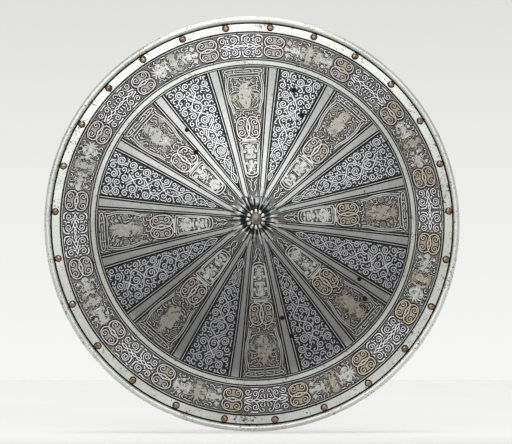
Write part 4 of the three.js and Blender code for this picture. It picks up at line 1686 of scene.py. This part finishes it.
# Depth of the black plug that paints shade in each strap hole, width of the dark ring round it, and sides of
# each
SHADE_PLUG_DEPTH = 0.95
HOLE_RING_WIDTH = 0.75
HOLE_MARK_SIDES = 24


def strap_hole_shade_plugs():
    """A black plug a little below the face in each strap hole, painted shade that hides the view through it,
    and a dark ring round each hole.
    """
    turns = even_turns(HOLE_MARK_SIDES)
    reach = STRAP_HOLE_RADIUS - 0.05
    hole_ring_edge = reach + HOLE_RING_WIDTH
    hole_ring = [(reach, 0.5), (reach, -0.04), (reach + 0.2, -0.1), (hole_ring_edge - 0.25, -0.08), (hole_ring_edge, 0.0),
            (hole_ring_edge, 0.5)]
    points = []
    faces = []
    for angle, r in HOLE_PLACES:
        slope = float(slope_at(r))
        back = (PLATE_THICKNESS - 0.1) * math.hypot(1, slope)
        shade_plug = [(0.05 * reach, SHADE_PLUG_DEPTH + 0.15), (0.55 * reach, SHADE_PLUG_DEPTH), (reach, SHADE_PLUG_DEPTH + 0.2),
                (reach, back), (0.05 * reach, back)]
        for rows, closed in ((shade_plug, False), (hole_ring, True)):
            rings = []
            for out, depth in rows:
                disc = ring(out, 0, turns)
                height = disc[:, 2] * slope
                disc[:, 1] = float(front_y(r)) + depth + height
                disc[:, 2] += r
                x, z = turn_about_y(disc[:, 0], disc[:, 2], angle)
                rings.append(np.stack([x, disc[:, 1] - hammered(x, z), z], axis=-1))
            skin_points, skin_faces = skin(rings, closed)
            before = sum(map(len, points))
            faces += [[v + before for v in face] for face in skin_faces]
            points.append(skin_points)
    shade_plugs = mesh_object("strap_hole_shade_plugs", np.concatenate(points), faces, None, [DIRT_AND_SHADE], crease_deg=40)
    belongs(shade_plugs, "dark_iron")


# Floor, light and camera

FLOOR_HALF = 9.0
FLOOR_BACK = 6.0
FLOOR_Z = float(cad_box[0][2])
# What the floor shows of a plain level of its own where it is seen, and that level
FLOOR_PLAIN_SHARE = 0.55
FLOOR_SEEN = (0.905, 0.9, 0.885)
# Level of the world where it lights, and its greys where it is seen, from straight down to up
WORLD_LEVEL = 0.3
WORLD_STOPS = [(0.0, 0.2), (0.46, 0.7), (0.488, 0.93), (0.51, 0.91), (0.545, 0.84), (0.585, 0.74),
               (0.7, 0.68), (1.0, 0.35)]
WORLD_BLUE = 0.985
# Lamps: place, point aimed at, width, height, radiance and spread in degrees
LAMPS = {
    "key": ((-0.2, -1.95, 1.0), (0, 0, 0), 2.2, 1.1, 2.5, 180),
    "side": ((-2.2, -1.3, 0.35), (0, 0, 0), 1.0, 1.2, 0.15, 180),
    "floor_light": ((0, 3.58, 0.9), (0, 3.58, 0), 18.0, 8.0, 0.76, 36),
    "front_floor_light": ((0, -5.7, 0.9), (0, -5.7, 0), 18.0, 6.8, 0.76, 36),
    "left_floor_light": ((-5.3, -1.35, 0.9), (-5.3, -1.35, 0), 7.4, 1.8, 0.76, 36),
    "right_floor_light": ((5.3, -1.35, 0.9), (5.3, -1.35, 0), 7.4, 1.8, 0.76, 36),
}
CAMERA_DISTANCE = 3.0
CAMERA_LEFT_DEG = 2.9
CAMERA_BELOW_DEG = 3.5
CAMERA_AIM = Vector((0.0045, 0.0, 0.0014))
CAMERA_LENS_MM = 151.0


def area_light(name, place, aim, width, height, radiance, spread_deg):
    """A soft panel of an even radiance, turned to a point."""
    light = bpy.data.lights.new(name, "AREA")
    light.shape = "RECTANGLE"
    light.size = width
    light.size_y = height
    light.energy = radiance * math.pi * width * height
    light.spread = math.radians(spread_deg)
    lamp = bpy.data.objects.new(name, light)
    lamp.location = place
    lamp.rotation_euler = (Vector(aim) - Vector(place)).to_track_quat("-Z", "Y").to_euler()
    lamp.visible_camera = False
    bpy.context.scene.collection.objects.link(lamp)


def seen_share(tree, share):
    """A share for rays that come from the camera, a mirror or glass, and 0 for all others."""
    rays = tree.nodes.new("ShaderNodeLightPath").outputs
    seen = rays["Is Camera Ray"]
    for kind in ("Is Glossy Ray", "Is Transmission Ray"):
        seen = node(tree, "Math", 0, {0: seen, 1: rays[kind]}, operation="MAXIMUM")
    return node(tree, "Math", 0, {0: seen, 1: share}, operation="MULTIPLY")


def even_out(material):
    """Mixes a plain pale level into a floor as it is seen: it looks even, with half its shadows."""
    tree = material.node_tree
    plain_level = node(tree, "Emission", 0, {"Color": FLOOR_SEEN})
    shaders = {0: seen_share(tree, FLOOR_PLAIN_SHARE), 1: tree.nodes["Principled BSDF"].outputs[0],
               2: plain_level}
    mixed = node(tree, "MixShader", 0, shaders)
    tree.links.new(mixed, tree.nodes["Material Output"].inputs["Surface"])
    material.cycles.emission_sampling = "NONE"


def studio_world():
    """Pale air round the object: a soft gradient where it is seen or mirrored, plain where it lights."""
    world = bpy.data.worlds.new("studio")
    world.use_nodes = True
    tree = world.node_tree
    up = node(tree, "SeparateXYZ", "Z", {"Vector": node(tree, "TexCoord", "Generated", {})})
    height = node(tree, "MapRange", "Result", {"From Min": -1.0, "Value": up})
    gradient = ramp(tree, height, [(at, (level, level, level * WORLD_BLUE)) for at, level in WORLD_STOPS])
    levels = {0: seen_share(tree, 1.0), 6: (WORLD_LEVEL,) * 3, 7: gradient}
    tree.links.new(node(tree, "Mix", 2, levels, data_type="RGBA"), tree.nodes["Background"].inputs["Color"])
    bpy.context.scene.world = world


def studio():
    floor_finish = Finish("pale_floor", 0.0, 0.9)
    grain = floor_finish.noise(3, detail=3)
    floor_finish.colour(floor_finish.ramp(grain, [(0.3, 0.79), (0.7, 0.83)]))
    floor_finish.set("Specular IOR Level", 0.1)
    corners = [(x / MM, y / MM, FLOOR_Z / MM) for x, y in
               ((-FLOOR_HALF, -FLOOR_HALF), (FLOOR_HALF, -FLOOR_HALF), (FLOOR_HALF, FLOOR_BACK),
                (-FLOOR_HALF, FLOOR_BACK))]
    floor = mesh_object("floor", corners, [[0, 1, 2, 3]], None, [floor_finish.material])
    even_out(floor_finish.material)
    studio_world()
    for name, settings in LAMPS.items():
        area_light(name, *settings)
    scene = bpy.context.scene
    scene.view_settings.view_transform = "Standard"
    camera = bpy.data.cameras.new("camera")
    camera.lens = CAMERA_LENS_MM
    view = bpy.data.objects.new("camera", camera)
    left = math.radians(CAMERA_LEFT_DEG)
    below = math.radians(CAMERA_BELOW_DEG)
    back = Vector((-math.cos(below) * math.sin(left), -math.cos(below) * math.cos(left), -math.sin(below)))
    view.location = back * CAMERA_DISTANCE
    view.rotation_euler = (CAMERA_AIM - view.location).to_track_quat("-Z", "Y").to_euler()
    scene.collection.objects.link(view)
    scene.camera = view


studio()
plate = plate_piece()
punch_strap_holes(plate)
belongs(plate, "etched_steel", "shield_plate")
for k in range(SECTOR_COUNT):
    scroll_panel(k)
    trophy_panel(k)
border_knots()
border_scrolls()
border_trophies()
lining_rivets()
lining_washers()
lining_band()
boss_rosette()
boss_rivet()
boss_washer()
strap_hole_shade_plugs()
frame["nodes"]["rim_wire"].data.materials[0] = IRON
